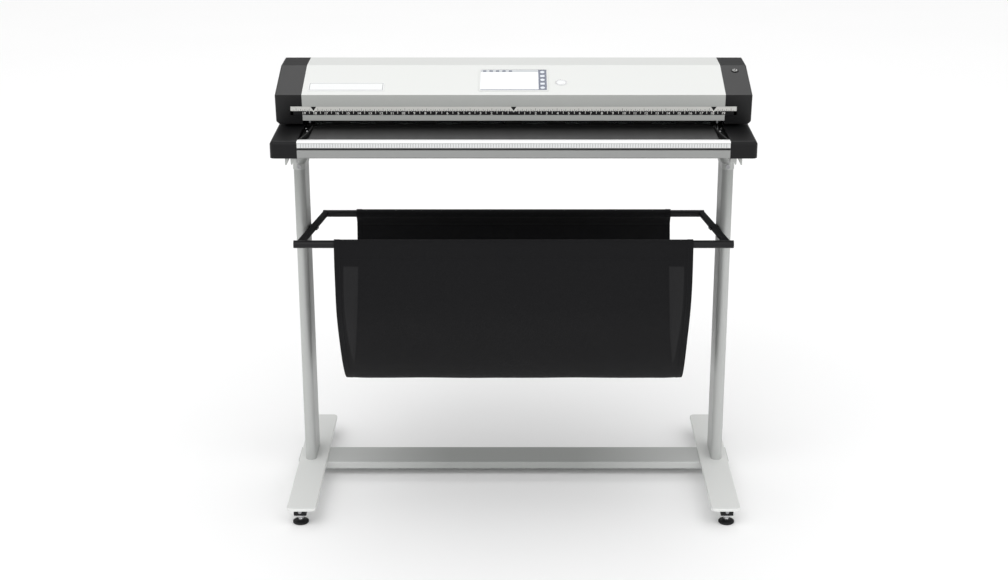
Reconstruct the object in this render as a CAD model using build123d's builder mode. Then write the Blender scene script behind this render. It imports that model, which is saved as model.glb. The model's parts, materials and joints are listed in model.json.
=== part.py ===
from build123d import *
import math
import os

os.makedirs("parts", exist_ok=True)

# Frame: millimetres, +Z up, +X to the right, the feed side faces -Y.
# The origin is on the floor, under the middle of the width and of the overall depth.
# Pieces are drawn about the legs' middle plane, which lies LEG_PLANE_Y behind the origin.

# ---- driving dimensions -------------------------------------------------------
LEG_PLANE_Y = 32.0
HALF_WIDTH = 547.5          # outside of the scanner, half its width
CAP_INNER = 486.0           # inner faces of the four end caps
CAP_WIDTH = HALF_WIDTH - CAP_INNER
RUNNING = 0.08              # radial clearance of the running fits

# Stand: foot plates, levelling glides and crossbar.
FLOOR_PLATE_TOP = 46.0
FLOOR_PLATE_THICK = 7.0
FLOOR_PLATE_LOW = FLOOR_PLATE_TOP - FLOOR_PLATE_THICK
PLATE_X = 502.0
PLATE_WIDTH = 69.0
PLATE_FRONT = -328.0
PLATE_REAR = 236.0
GLIDE_X = 506.0
GLIDE_YS = (-303.0, 211.0)
GLIDE_PAD_R = 19.0
STUD_R = 5.0
INSERT_SIZE = 30.0          # threaded blocks under the foot plates
INSERT_LOW = 23.0
CROSSBAR_HALF = 482.0       # the hollow section ends under the foot plates
CROSSBAR_DEPTH = 92.0
CROSSBAR_Y = -4.0
CROSSBAR_HEIGHT = 19.0
TONGUE_THICK = 8.0
TONGUE_END = 540.0

# Stand: legs and the arms on top of them.
LEG_X = 508.0
LEG_WIDTH = 27.0            # oval tube, across X
LEG_DEPTH = 105.0           # oval tube, along Y
LEG_WALL = 2.5
LEG_TOP = 840.0
LEG_BOLT_YS = (-30.0, 30.0)
LEG_BOLT_R = 4.0
COLLAR_LOW, COLLAR_NECK = 798.0, 812.0      # straight lower part of the collar
COLLAR_WIDE, COLLAR_TOP = 828.0, 843.0      # wide head, after a flare
COLLAR_WALL = 1.5
COLLAR_X = 505.5            # middle of the collar's wide head
COLLAR_WIDTH, COLLAR_DEPTH = 43.0, 130.0
COLLAR_SCREW_X, COLLAR_SCREW_Z = 506.5, 806.0
COLLAR_SCREW_R = 3.0
ARM_X0, ARM_X1 = 489.0, 515.0
ARM_BOTTOM = 861.0
ARM_FRONT, ARM_REAR = -240.0, 205.0
ARM_SHEET = 3.0
ARM_BOLT_X = (ARM_X0 + ARM_X1) / 2
ARM_BOLT_YS = (-150.0, 120.0)
ARM_BOLT_R = 3.0

# Scanner base.
FRONT_Y = -255.0            # front of the base
REAR_Y = 256.0              # rear of the base
BASE_BOTTOM = 880.0         # underside of the base at the front rail
BELLY_BOTTOM = 845.0        # underside of the deeper part of the chassis tray
SHALLOW_BOTTOM = 867.0      # underside of the tray's front part
BELLY_FRONT = -110.0
TRAY_FRONT, TRAY_REAR = -200.0, 238.0
TRAY_HALF = 484.0
TRAY_SHEET = 2.0
DECK_TOP = 911.0
DECK_FRONT = -236.0
TABLE_TOP = 919.0           # paper plane
TABLE_HALF = 461.0          # half the width of the feed plate
TABLE_REAR = -108.0
RAIL_REAR = -236.0
SCALE_LOW, SCALE_HIGH = 904.0, 915.0
GROOVE_LOW = 899.0
GLASS_FRONT, GLASS_REAR = -76.0, 32.0
GLASS_LOW, GLASS_TOP = 914.5, 918.5
GLASS_Y = (GLASS_FRONT + GLASS_REAR) / 2
OPTICS_LENGTH = 910.0       # scanned width: optical unit and background plate
EXIT_FRONT = 66.0

# Cooling fan, connector panel and sockets at the rear.
FAN_X, FAN_Z, FAN_SIZE = 330.0, 878.0, 50.0
FAN_FRONT, FAN_REAR = 220.0, 235.8
FAN_BORE_R = 23.0
PANEL_X0, PANEL_X1 = -430.0, -250.0
PANEL_LOW, PANEL_HIGH = 853.0, 903.0
PANEL_FRONT, PANEL_REAR = 245.0, 247.0
SOCKET_X, SWITCH_X = -400.0, -360.0
SOCKET_Z = 878.0
SOCKET_OUTER = (27.6, 20.6)
SOCKET_INNER = (23.0, 16.0)
PORT_XS = (-328.0, -304.0, -280.0)
PORT_OUTER = (15.6, 13.6)
PORT_INNER = (12.5, 8.0)
SWITCH_W, SWITCH_H = 14.0, 26.0
SWITCH_PIVOT_Y = 243.5

# Paper drive.
ROLLER_R = 14.0
ROLLER_Z = 905.3
FRONT_ROLLER_Y = -92.0
REAR_ROLLER_Y = 48.0
ROLLER_SHAFT_R = 5.0
BEARING_R = 10.0
PINCH_R = 7.5
PINCH_Z = 927.4
PINCH_SHAFT_R = 3.5
PINCH_BRACKET_X = 472.0
SLEEVE_COUNT, SLEEVE_PITCH = 9, 100.0
PULLEY_R = 9.0
PULLEY_FLANGE = 1.2
PULLEY_X0, PULLEY_X1 = 464.0, 474.0
MOTOR_PULLEY_R = 6.0
MOTOR_SHAFT_R = 2.5
MOTOR_SIZE = 42.0
MOTOR_X = 412.0             # inner end of the motor
MOTOR_LENGTH = 46.0
MOTOR_Y, MOTOR_Z = 110.0, 872.0

# Lid, with its outline in the YZ plane.
LID_BOTTOM = 934.0          # underside of the lid between its end caps
LID_CAP_BOTTOM = 926.0      # underside of the lid's end caps
LID_TOP = 1036.0            # overall height
LID_FRONT_TOP_Y = -127.0    # upper edge of the upright front
LID_FRONT_LOW_Y = -119.0    # the front leans back towards its lower edge
LID_SLOPE_LOW_Z = 996.0     # where the front slope starts
LID_FLAT_FRONT_Y = 10.0
LID_FLAT_REAR_Y = 97.0
LID_REAR_Y = 240.0
LID_REAR_TOP_Z = 980.0
SHELL = 2.5                 # wall of the lid cover
CAP_WALL = 3.0              # wall of the end caps
RULER_LOW, RULER_HIGH = 957.0, 968.0
BAND_LOW = 947.0
RULER_HALF = 513.0
BAND_HALF = 507.0
GROOVE_DEPTH = 4.0          # groove of the ruler and the band
PANEL_DEPTH = 9.0
CHASSIS_LOW = LID_BOTTOM + 3
CHASSIS_SHEET = 2.5
SCREEN_W, SCREEN_H, SCREEN_UP = 160.0, 104.0, 69.0
BUTTON_X, BUTTON_UP, BUTTON_R = 518.0, 116.0, 9.0

# Hinges of the lid.
HINGE_Y, HINGE_Z = 250.0, 930.0
HINGE_X = 517.0
HINGE_PIN_R = 3.0
LUG_GAP = 8.8               # half the space between a hinge's two lugs
LUG_THICK = 7.0
KNUCKLE_R = 6.0

# Basket.
TUBE_R = 9.0
SIDE_TUBE_R = 8.5
TUBE_WALL = 1.5
BASKET_FRONT = (-263.0, 681.0)
BASKET_REAR = (252.0, 598.0)
BASKET_FRONT_HALF = 498.0
BASKET_REAR_HALF = 485.5
SIDE_FRONT_X, SIDE_REAR_X = 488.5, 482.0    # the side tubes close in towards the rear
SADDLE_SCREW_YS = (-12.0, 12.0)
SADDLE_SCREW_R = 2.5
PLUG_RIM = 2.6
BAG_HALF = 405.0
BAG_THICK = 3.0
LOOP_IN = TUBE_R + 0.3
LOOP_OUT = LOOP_IN + 2.7
LOOP_MIDDLE = (LOOP_IN + LOOP_OUT) / 2


def lid_front(z):
    """Y of the lid's leaning front face at height z."""
    share = (z - LID_BOTTOM) / (LID_SLOPE_LOW_Z - LID_BOTTOM)
    return LID_FRONT_LOW_Y + share * (LID_FRONT_TOP_Y - LID_FRONT_LOW_Y)


def finish(builder, label):
    """Label a finished piece, move it into the part's frame and write its STEP file."""
    piece = builder.part.moved(Location((0, LEG_PLANE_Y, 0)))
    piece.label = label
    export_step(piece, f"parts/{label}.step")


def side_tube_at(y):
    """X and Z of the right side tube's middle line at a given Y."""
    share = (y - BASKET_FRONT[0]) / (BASKET_REAR[0] - BASKET_FRONT[0])
    x = SIDE_FRONT_X + share * (SIDE_REAR_X - SIDE_FRONT_X)
    z = BASKET_FRONT[1] + share * (BASKET_REAR[1] - BASKET_FRONT[1])
    return x, z


def side_name(side):
    return "left" if side < 0 else "right"


# The lid's front slope: local x along X, local y up the slope, z out of the lid.
slope_run = LID_FLAT_FRONT_Y - LID_FRONT_TOP_Y
slope_rise = LID_TOP - LID_SLOPE_LOW_Z
slope_length = math.hypot(slope_run, slope_rise)
SLOPE = Plane(
    origin=(0, LID_FRONT_TOP_Y, LID_SLOPE_LOW_Z),
    x_dir=(1, 0, 0),
    z_dir=(0, -slope_rise / slope_length, slope_run / slope_length),
)


# ==== stand =====================================================================

def make_foot_plate(side):
    """Flat steel foot with rounded corners, drilled for the leg bolts and glide inserts."""
    middle = (PLATE_FRONT + PLATE_REAR) / 2
    with BuildPart() as foot_plate:
        with BuildSketch(Plane.XY.offset(FLOOR_PLATE_LOW)):
            with Locations((side * PLATE_X, middle)):
                RectangleRounded(PLATE_WIDTH, PLATE_REAR - PLATE_FRONT, 12)
            with Locations(*[(side * LEG_X, y) for y in LEG_BOLT_YS]):
                Circle(LEG_BOLT_R + 0.1, mode=Mode.SUBTRACT)
        extrude(amount=FLOOR_PLATE_THICK)
        fillet(foot_plate.faces().sort_by(Axis.Z)[-1].outer_wire().edges(), 2)
    finish(foot_plate, f"foot_plate_{side_name(side)}")


def make_leg(side):
    """Oval aluminium tube with two screw channels inside."""
    inner_depth = LEG_DEPTH - 2 * LEG_WALL
    inner_width = LEG_WIDTH - 2 * LEG_WALL
    channel_r = 8.0
    with BuildPart() as leg:
        with BuildSketch(Plane.XY.offset(FLOOR_PLATE_TOP)):
            with Locations((side * LEG_X, 0)):
                SlotOverall(LEG_DEPTH, LEG_WIDTH, rotation=90)
                SlotOverall(inner_depth, inner_width, rotation=90, mode=Mode.SUBTRACT)
            with Locations(*[(side * LEG_X, y) for y in LEG_BOLT_YS]):
                Rectangle(LEG_WIDTH - LEG_WALL, 3)
                Circle(channel_r)
                Circle(LEG_BOLT_R + 0.1, mode=Mode.SUBTRACT)
        extrude(amount=LEG_TOP - FLOOR_PLATE_TOP)
        # Holes of the collar's two screws, in the front and rear noses.
        for way in (-1, 1):
            with BuildSketch(Plane.XZ.offset(-way * (LEG_DEPTH / 2 + 1))):
                with Locations((side * COLLAR_SCREW_X, COLLAR_SCREW_Z)):
                    Circle(COLLAR_SCREW_R + 0.1)
            extrude(amount=way * (LEG_WALL + 3), mode=Mode.SUBTRACT)
        # Holes of the basket's saddle screws, in the inner face.
        with BuildSketch(Plane.YZ.offset(side * (LEG_X - LEG_WIDTH / 2 - 1))):
            with Locations(*[(y, side_tube_at(y)[1]) for y in SADDLE_SCREW_YS]):
                Circle(SADDLE_SCREW_R + 0.1)
        extrude(amount=side * (LEG_WALL + 2), mode=Mode.SUBTRACT)
    finish(leg, f"leg_{side_name(side)}")


def make_support_arm(side):
    """Flared collar on the leg's top, carrying a channel that the scanner's end rests on."""
    neck_size = (37.0, 118.0)
    arm_middle = side * (ARM_X0 + ARM_X1) / 2
    sleeve_depth = LEG_DEPTH + 2 * COLLAR_WALL
    sleeve_width = LEG_WIDTH + 2 * COLLAR_WALL
    with BuildPart() as support_arm:
        # Straight sleeve around the leg, then the flare, then the wide head.
        with BuildSketch(Plane.XY.offset(COLLAR_LOW)):
            with Locations((side * LEG_X, 0)):
                SlotOverall(sleeve_depth, sleeve_width, rotation=90)
        extrude(amount=COLLAR_NECK - COLLAR_LOW)
        with BuildSketch(Plane.XY.offset(COLLAR_NECK)) as flare_low:
            with Locations((side * LEG_X, 0)):
                SlotOverall(sleeve_depth, sleeve_width, rotation=90)
        with BuildSketch(Plane.XY.offset(COLLAR_WIDE)) as flare_high:
            with Locations((side * COLLAR_X, 0)):
                SlotOverall(COLLAR_DEPTH, COLLAR_WIDTH, rotation=90)
        loft([flare_low.sketch.faces()[0], flare_high.sketch.faces()[0]])
        with BuildSketch(Plane.XY.offset(COLLAR_WIDE)):
            with Locations((side * COLLAR_X, 0)):
                SlotOverall(COLLAR_DEPTH, COLLAR_WIDTH, rotation=90)
        extrude(amount=COLLAR_TOP - COLLAR_WIDE)
        # Neck between the collar and the channel.
        with BuildSketch(Plane.XY.offset(COLLAR_TOP)):
            with Locations((side * COLLAR_X, 0)):
                RectangleRounded(*neck_size, 8)
        extrude(amount=ARM_BOTTOM - COLLAR_TOP)
        # Channel, open below, with the neck's top as its middle floor.
        with BuildSketch(Plane.XZ.offset(-ARM_FRONT)):
            with Locations((arm_middle, (ARM_BOTTOM + BASE_BOTTOM) / 2)):
                Rectangle(ARM_X1 - ARM_X0, BASE_BOTTOM - ARM_BOTTOM)
            with Locations((arm_middle, (ARM_BOTTOM + BASE_BOTTOM) / 2 - ARM_SHEET)):
                Rectangle(ARM_X1 - ARM_X0 - 2 * ARM_SHEET, BASE_BOTTOM - ARM_BOTTOM, mode=Mode.SUBTRACT)
        extrude(amount=-(ARM_REAR - ARM_FRONT))
        # Two pointed gussets at the channel's front end.
        with BuildSketch(Plane.XZ.offset(-ARM_FRONT)):
            for inner_x, outer_x in ((ARM_X0, ARM_X0 + 14), (ARM_X1 - 9, ARM_X1)):
                with BuildLine():
                    Polyline(
                        (side * inner_x, BASE_BOTTOM),
                        (side * outer_x, BASE_BOTTOM),
                        (side * (outer_x - 1), ARM_BOTTOM + 2),
                        (side * (outer_x - 3), ARM_BOTTOM),
                        close=True,
                    )
                make_face()
        extrude(amount=-ARM_SHEET)
        # Pocket for the leg, and holes for the screws.
        with BuildSketch(Plane.XY.offset(COLLAR_LOW)):
            with Locations((side * LEG_X, 0)):
                SlotOverall(LEG_DEPTH + 0.2, LEG_WIDTH + 0.2, rotation=90)
        extrude(amount=LEG_TOP - COLLAR_LOW, mode=Mode.SUBTRACT)
        with BuildSketch(Plane.XY.offset(BASE_BOTTOM - ARM_SHEET)):
            with Locations(*[(side * ARM_BOLT_X, y) for y in ARM_BOLT_YS]):
                Circle(ARM_BOLT_R + 0.1)
        extrude(amount=ARM_SHEET, mode=Mode.SUBTRACT)
        with BuildSketch(Plane.XZ):
            with Locations((side * COLLAR_SCREW_X, COLLAR_SCREW_Z)):
                Circle(COLLAR_SCREW_R + 0.1)
        extrude(amount=sleeve_depth, both=True, mode=Mode.SUBTRACT)
    finish(support_arm, f"support_arm_{side_name(side)}")


def make_crossbar():
    """Flat hollow bar that ends under the foot plates, with a tongue for the leg bolts at each end."""
    wall = 2.5
    middle_z = FLOOR_PLATE_LOW - CROSSBAR_HEIGHT / 2
    tongue_start = CROSSBAR_HALF - 27
    with BuildPart() as crossbar:
        with BuildSketch(Plane.YZ.offset(-CROSSBAR_HALF)):
            with Locations((CROSSBAR_Y, middle_z)):
                RectangleRounded(CROSSBAR_DEPTH, CROSSBAR_HEIGHT, 3)
                RectangleRounded(
                    CROSSBAR_DEPTH - 2 * wall, CROSSBAR_HEIGHT - 2 * wall, 1.5, mode=Mode.SUBTRACT
                )
        extrude(amount=2 * CROSSBAR_HALF)
        for side in (-1, 1):
            with BuildSketch(Plane.XY.offset(FLOOR_PLATE_LOW - TONGUE_THICK)):
                with Locations((side * (tongue_start + TONGUE_END) / 2, 0)):
                    Rectangle(TONGUE_END - tongue_start, 78)
                with Locations(*[(side * LEG_X, y) for y in LEG_BOLT_YS]):
                    Circle(LEG_BOLT_R + 0.1, mode=Mode.SUBTRACT)
            extrude(amount=TONGUE_THICK)
    finish(crossbar, "crossbar")


def make_glide_inserts():
    """Four threaded plastic blocks under the ends of the foot plates."""
    with BuildPart() as glide_inserts:
        with BuildSketch(Plane.XY.offset(INSERT_LOW)):
            for side in (-1, 1):
                with Locations(*[(side * GLIDE_X, y) for y in GLIDE_YS]):
                    RectangleRounded(INSERT_SIZE, INSERT_SIZE, 3)
                    Circle(STUD_R + RUNNING, mode=Mode.SUBTRACT)
        extrude(amount=FLOOR_PLATE_LOW - INSERT_LOW)
    finish(glide_inserts, "glide_inserts")


def make_glide(side, y, label):
    """Levelling foot: a domed pad with a threaded stud that has a hexagon near its foot."""
    centre = side * GLIDE_X
    dome_top = 8.0
    hexagon_height = 4.5
    stud_top = FLOOR_PLATE_LOW - 1.5
    with BuildPart() as glide:
        with BuildSketch(Plane.XZ.offset(-y)):
            with BuildLine():
                Polyline(
                    (centre, 0),
                    (centre + GLIDE_PAD_R - 1, 0),
                    (centre + GLIDE_PAD_R, 1),
                    (centre + GLIDE_PAD_R, 3.5),
                    (centre + GLIDE_PAD_R - 1.5, 5),
                    (centre + 8, dome_top),
                    (centre, dome_top),
                    close=True,
                )
            make_face()
        revolve(axis=Axis((centre, y, 0), (0, 0, 1)))
        with BuildSketch(Plane.XY.offset(dome_top)):
            with Locations((centre, y)):
                RegularPolygon(7, 6)
        extrude(amount=hexagon_height)
        with BuildSketch(Plane.XY.offset(dome_top + hexagon_height)):
            with Locations((centre, y)):
                Circle(STUD_R)
        extrude(amount=stud_top - dome_top - hexagon_height)
    finish(glide, label)


def add_screw(plane, places, head_r, head_h, shank_r, shank_l):
    """Socket-head screws on a plane: heads stand out of it and shanks go in."""
    with BuildSketch(plane) as heads:
        with Locations(*places):
            Circle(head_r)
    extrude(heads.sketch, amount=head_h)
    with BuildSketch(plane.offset(head_h)) as sockets:
        with Locations(*places):
            RegularPolygon(head_r * 0.45, 6)
    extrude(sockets.sketch, amount=-head_h * 0.5, mode=Mode.SUBTRACT)
    with BuildSketch(plane) as shanks:
        with Locations(*places):
            Circle(shank_r)
    extrude(shanks.sketch, amount=-shank_l)


def make_stand_bolts():
    """All screws of the stand and of the basket's saddles, as separate solids."""
    leg_places = [(s * LEG_X, -y) for s in (-1, 1) for y in LEG_BOLT_YS]
    arm_places = [(s * ARM_BOLT_X, -y) for s in (-1, 1) for y in ARM_BOLT_YS]
    under_tongue = Plane(
        origin=(0, 0, FLOOR_PLATE_LOW - TONGUE_THICK), x_dir=(1, 0, 0), z_dir=(0, 0, -1)
    )
    under_channel = Plane(origin=(0, 0, BASE_BOTTOM - ARM_SHEET), x_dir=(1, 0, 0), z_dir=(0, 0, -1))
    collar_face = LEG_DEPTH / 2 + COLLAR_WALL
    leg_inner_face = LEG_X - LEG_WIDTH / 2
    with BuildPart() as stand_bolts:
        add_screw(under_tongue, leg_places, 6.5, 6, LEG_BOLT_R, 62)
        add_screw(under_channel, arm_places, 5.5, 5, ARM_BOLT_R, 10)
        for way in (-1, 1):
            nose = Plane(
                origin=(0, way * collar_face, COLLAR_SCREW_Z), x_dir=(1, 0, 0), z_dir=(0, way, 0)
            )
            nose_places = [(-COLLAR_SCREW_X, 0), (COLLAR_SCREW_X, 0)]
            add_screw(nose, nose_places, 5, 3, COLLAR_SCREW_R, COLLAR_WALL + LEG_WALL + 1)
        for side in (-1, 1):
            for y in SADDLE_SCREW_YS:
                tube_x, tube_z = side_tube_at(y)
                inner_x = tube_x - SIDE_TUBE_R - 0.05
                beside_tube = Plane(
                    origin=(side * inner_x, y, tube_z), x_dir=(0, 1, 0), z_dir=(-side, 0, 0)
                )
                shank = leg_inner_face + 5 - inner_x
                add_screw(beside_tube, [(0, 0)], 4.5, 2.5, SADDLE_SCREW_R, shank)
        # Bright studs on the front faces of the front inserts.
        insert_front = Plane(
            origin=(0, GLIDE_YS[0] - INSERT_SIZE / 2, INSERT_LOW + 10), x_dir=(1, 0, 0), z_dir=(0, -1, 0)
        )
        with BuildSketch(insert_front):
            with Locations((-GLIDE_X, 0), (GLIDE_X, 0)):
                Circle(4)
        extrude(amount=2)
    finish(stand_bolts, "stand_bolts")


for side in (-1, 1):
    make_foot_plate(side)
    make_leg(side)
    make_support_arm(side)
    for y, end in zip(GLIDE_YS, ("front", "rear")):
        make_glide(side, y, f"glide_{end}_{side_name(side)}")
make_crossbar()
make_glide_inserts()
make_stand_bolts()


# ==== scanner base ==============================================================

def make_base_chassis():
    """Folded steel tray with end plates that carry the rollers and bars that carry the glass."""
    sheet = TRAY_SHEET
    flange = 3.0
    end_plate = 4.0
    glass_bar = 8.0
    with BuildPart() as base_chassis:
        # Tray, shallow in front, with the deck flange and the rear wall in one folded section.
        with BuildSketch(Plane.YZ.offset(-TRAY_HALF)):
            with BuildLine():
                Polyline(
                    (TRAY_FRONT, SHALLOW_BOTTOM),
                    (BELLY_FRONT, SHALLOW_BOTTOM),
                    (BELLY_FRONT, BELLY_BOTTOM),
                    (TRAY_REAR, BELLY_BOTTOM),
                    (TRAY_REAR, DECK_TOP),
                    (TRAY_REAR - sheet, DECK_TOP),
                    (TRAY_REAR - sheet, BELLY_BOTTOM + sheet),
                    (BELLY_FRONT + sheet, BELLY_BOTTOM + sheet),
                    (BELLY_FRONT + sheet, SHALLOW_BOTTOM + sheet),
                    (TRAY_FRONT + sheet, SHALLOW_BOTTOM + sheet),
                    (TRAY_FRONT + sheet, DECK_TOP - flange),
                    (TABLE_REAR - 2, DECK_TOP - flange),
                    (TABLE_REAR - 2, DECK_TOP),
                    (DECK_FRONT, DECK_TOP),
                    (DECK_FRONT, DECK_TOP - flange),
                    (TRAY_FRONT, DECK_TOP - flange),
                    close=True,
                )
            make_face()
        extrude(amount=2 * TRAY_HALF)
        # End plates with bearing holes, open above so that the rollers drop in.
        for side in (-1, 1):
            with BuildSketch(Plane.YZ.offset(side * TRAY_HALF)):
                with BuildLine():
                    Polyline(
                        (TRAY_FRONT, SHALLOW_BOTTOM),
                        (BELLY_FRONT, SHALLOW_BOTTOM),
                        (BELLY_FRONT, BELLY_BOTTOM),
                        (TRAY_REAR, BELLY_BOTTOM),
                        (TRAY_REAR, DECK_TOP),
                        (TRAY_FRONT, DECK_TOP),
                        close=True,
                    )
                make_face()
                with Locations((FRONT_ROLLER_Y, ROLLER_Z), (REAR_ROLLER_Y, ROLLER_Z)):
                    Circle(BEARING_R + 0.1, mode=Mode.SUBTRACT)
                    with Locations((0, BEARING_R)):
                        Rectangle(2 * BEARING_R + 0.2, 2 * BEARING_R, mode=Mode.SUBTRACT)
            extrude(amount=-side * end_plate)
        # Bars under the glass.
        with BuildSketch(Plane.XY.offset(DECK_TOP - flange)):
            with Locations((0, GLASS_FRONT + glass_bar / 2), (0, GLASS_REAR - glass_bar / 2)):
                Rectangle(2 * (TRAY_HALF - sheet), glass_bar)
        extrude(amount=GLASS_LOW - DECK_TOP + flange)
        # Air hole behind the fan and window behind the connector panel.
        with BuildSketch(Plane.XZ.offset(-TRAY_REAR)):
            with Locations((FAN_X, FAN_Z)):
                Circle(FAN_BORE_R - 1)
            with Locations(((PANEL_X0 + PANEL_X1) / 2, (PANEL_LOW + PANEL_HIGH) / 2)):
                Rectangle(PANEL_X1 - PANEL_X0 - 8, PANEL_HIGH - PANEL_LOW - 8)
        extrude(amount=sheet + 1, both=True, mode=Mode.SUBTRACT)
    finish(base_chassis, "base_chassis")


def make_feed_table():
    """Black feed plate with a rounded front edge."""
    with BuildPart() as feed_table:
        with BuildSketch(Plane.XY.offset(DECK_TOP)):
            with Locations((0, (DECK_FRONT + 0.5 + TABLE_REAR) / 2)):
                Rectangle(2 * TABLE_HALF, TABLE_REAR - DECK_FRONT - 0.5)
        extrude(amount=TABLE_TOP - DECK_TOP)
        front_top = feed_table.edges().filter_by(Axis.X).group_by(Axis.Z)[-1].sort_by(Axis.Y)
        fillet(front_top[0], 4)
        fillet(front_top[-1], 1.5)
    finish(feed_table, "feed_table")


def make_front_rail():
    """Silver extrusion along the front: a rounded upper lip, a seat for the scale, a groove."""
    with BuildPart() as front_rail:
        with BuildSketch(Plane.YZ.offset(-CAP_INNER + 0.2)):
            with BuildLine():
                Polyline(
                    (FRONT_Y + 4, TABLE_TOP),
                    (RAIL_REAR - 0.2, TABLE_TOP),
                    (RAIL_REAR - 0.2, DECK_TOP - 4),
                    (RAIL_REAR - 6, DECK_TOP - 4),
                    (RAIL_REAR - 6, BASE_BOTTOM + 3),
                    (RAIL_REAR + 30, BASE_BOTTOM + 3),
                    (RAIL_REAR + 30, BASE_BOTTOM),
                    (FRONT_Y + 2, BASE_BOTTOM),
                    (FRONT_Y, BASE_BOTTOM + 2),
                    (FRONT_Y, GROOVE_LOW),
                    (FRONT_Y + 4, GROOVE_LOW + 1),
                    (FRONT_Y + 4, SCALE_LOW - 1),
                    (FRONT_Y + 1.5, SCALE_LOW),
                    (FRONT_Y + 1.5, SCALE_HIGH),
                    (FRONT_Y, SCALE_HIGH),
                )
                RadiusArc((FRONT_Y, SCALE_HIGH), (FRONT_Y + 4, TABLE_TOP), 4)
            make_face()
        extrude(amount=2 * CAP_INNER - 0.4)
    finish(front_rail, "front_rail")


def make_scale_strip():
    """Ribbed light strip in the rail's seat."""
    rib_pitch = 6.0
    rib_count = 161
    with BuildPart() as scale_strip:
        with BuildSketch(Plane.YZ.offset(-CAP_INNER + 0.5)):
            with Locations((FRONT_Y + 0.9, (SCALE_LOW + SCALE_HIGH) / 2)):
                Rectangle(1.2, SCALE_HIGH - SCALE_LOW - 0.2)
        extrude(amount=2 * CAP_INNER - 1)
        with BuildSketch(Plane.XZ.offset(-(FRONT_Y + 0.3))):
            with Locations((0, (SCALE_LOW + SCALE_HIGH) / 2)):
                with GridLocations(rib_pitch, 1, rib_count, 1):
                    Rectangle(rib_pitch / 2, SCALE_HIGH - SCALE_LOW - 1.4)
        extrude(amount=0.5)
    finish(scale_strip, "scale_strip")


def make_base_cap(side):
    """Black end housing of the base, rounded outside, open towards the tray."""
    depth = REAR_Y - FRONT_Y
    middle_y = (REAR_Y + FRONT_Y) / 2
    height = TABLE_TOP - BASE_BOTTOM
    pad_width, pad_length, pad_y = 38.0, 230.0, 90.0
    end_wall = 7.0
    top_wall = 8.0
    hollow_middle = CAP_INNER + (CAP_WIDTH - CAP_WALL) / 2 - 1
    with BuildPart() as base_cap:
        with BuildSketch(Plane.XY.offset(BASE_BOTTOM)):
            with Locations((side * (CAP_INNER + CAP_WIDTH / 2), middle_y)):
                Rectangle(CAP_WIDTH, depth)
        extrude(amount=height)
        outer = base_cap.faces().sort_by(Axis.X)[-1 if side > 0 else 0]
        fillet(outer.edges().filter_by(Axis.Z), 12)
        top = base_cap.faces().sort_by(Axis.Z)[-1]
        inner_line = side * CAP_INNER
        round_edges = [e for e in top.edges() if abs(e.center().X - inner_line) > 0.5]
        fillet(round_edges, 9)
        # Pad that the lid's end cap comes down on.
        with BuildSketch(Plane.XY.offset(TABLE_TOP - 1)):
            with Locations((side * HINGE_X, pad_y)):
                RectangleRounded(pad_width, pad_length, 6)
        extrude(amount=LID_CAP_BOTTOM - 0.3 - TABLE_TOP + 1)
        # Hollow.
        with BuildSketch(Plane.XY.offset(BASE_BOTTOM + CAP_WALL)):
            with Locations((side * hollow_middle, middle_y)):
                Rectangle(CAP_WIDTH - CAP_WALL - 5, depth - 2 * end_wall)
        extrude(amount=height - CAP_WALL - top_wall, mode=Mode.SUBTRACT)
        with BuildSketch(Plane.XY.offset(BASE_BOTTOM)):
            with Locations(*[(side * ARM_BOLT_X, y) for y in ARM_BOLT_YS]):
                Circle(ARM_BOLT_R + 0.1)
        extrude(amount=8, mode=Mode.SUBTRACT)
    finish(base_cap, f"base_cap_{side_name(side)}")


def make_paper_guides():
    """Two low curved fins beside the feed plate that steer the sheet's edges."""
    rear_y, bend_y, front_y = -112.0, -170.0, -232.0
    height = 9.0
    with BuildPart() as paper_guides:
        with BuildSketch(Plane.XY.offset(DECK_TOP)):
            for side in (-1, 1):
                with BuildLine():
                    outer = ThreePointArc(
                        (side * 466, rear_y), (side * 470.5, bend_y), (side * 483, front_y)
                    )
                    inner = ThreePointArc(
                        (side * 463, rear_y), (side * 467.5, bend_y), (side * 479.5, front_y)
                    )
                    Line(outer @ 0, inner @ 0)
                    Line(outer @ 1, inner @ 1)
                make_face()
        extrude(amount=height)
    finish(paper_guides, "paper_guides")


def make_rear_cover():
    """Black folded cover: the exit plate on top and the rear wall, with vents and a socket window."""
    wall = 3.0
    rear = 253.0
    corner = 14.0
    inner_corner = 15.5
    vent_count, vent_pitch = 6, 7.0
    low = BELLY_BOTTOM + 5
    with BuildPart() as rear_cover:
        with BuildSketch(Plane.YZ.offset(-CAP_INNER + 0.3)):
            with BuildLine():
                Polyline(
                    (EXIT_FRONT, TABLE_TOP),
                    (rear - corner, TABLE_TOP),
                    (rear, TABLE_TOP - corner),
                    (rear, low),
                    (rear - wall, low),
                    (rear - wall, TABLE_TOP - inner_corner),
                    (rear - inner_corner, TABLE_TOP - wall),
                    (EXIT_FRONT, TABLE_TOP - wall),
                    close=True,
                )
            make_face()
        extrude(amount=2 * CAP_INNER - 0.6)
        with BuildSketch(Plane.XZ.offset(-rear)):
            with Locations((FAN_X, FAN_Z)):
                with GridLocations(1, vent_pitch, 1, vent_count):
                    SlotOverall(2 * FAN_BORE_R, vent_pitch / 2)
            with Locations(((PANEL_X0 + PANEL_X1) / 2, (PANEL_LOW + PANEL_HIGH) / 2)):
                RectangleRounded(PANEL_X1 - PANEL_X0 - 6, PANEL_HIGH - PANEL_LOW - 6, 4)
        extrude(amount=wall + 1, both=True, mode=Mode.SUBTRACT)
    finish(rear_cover, "rear_cover")


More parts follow.
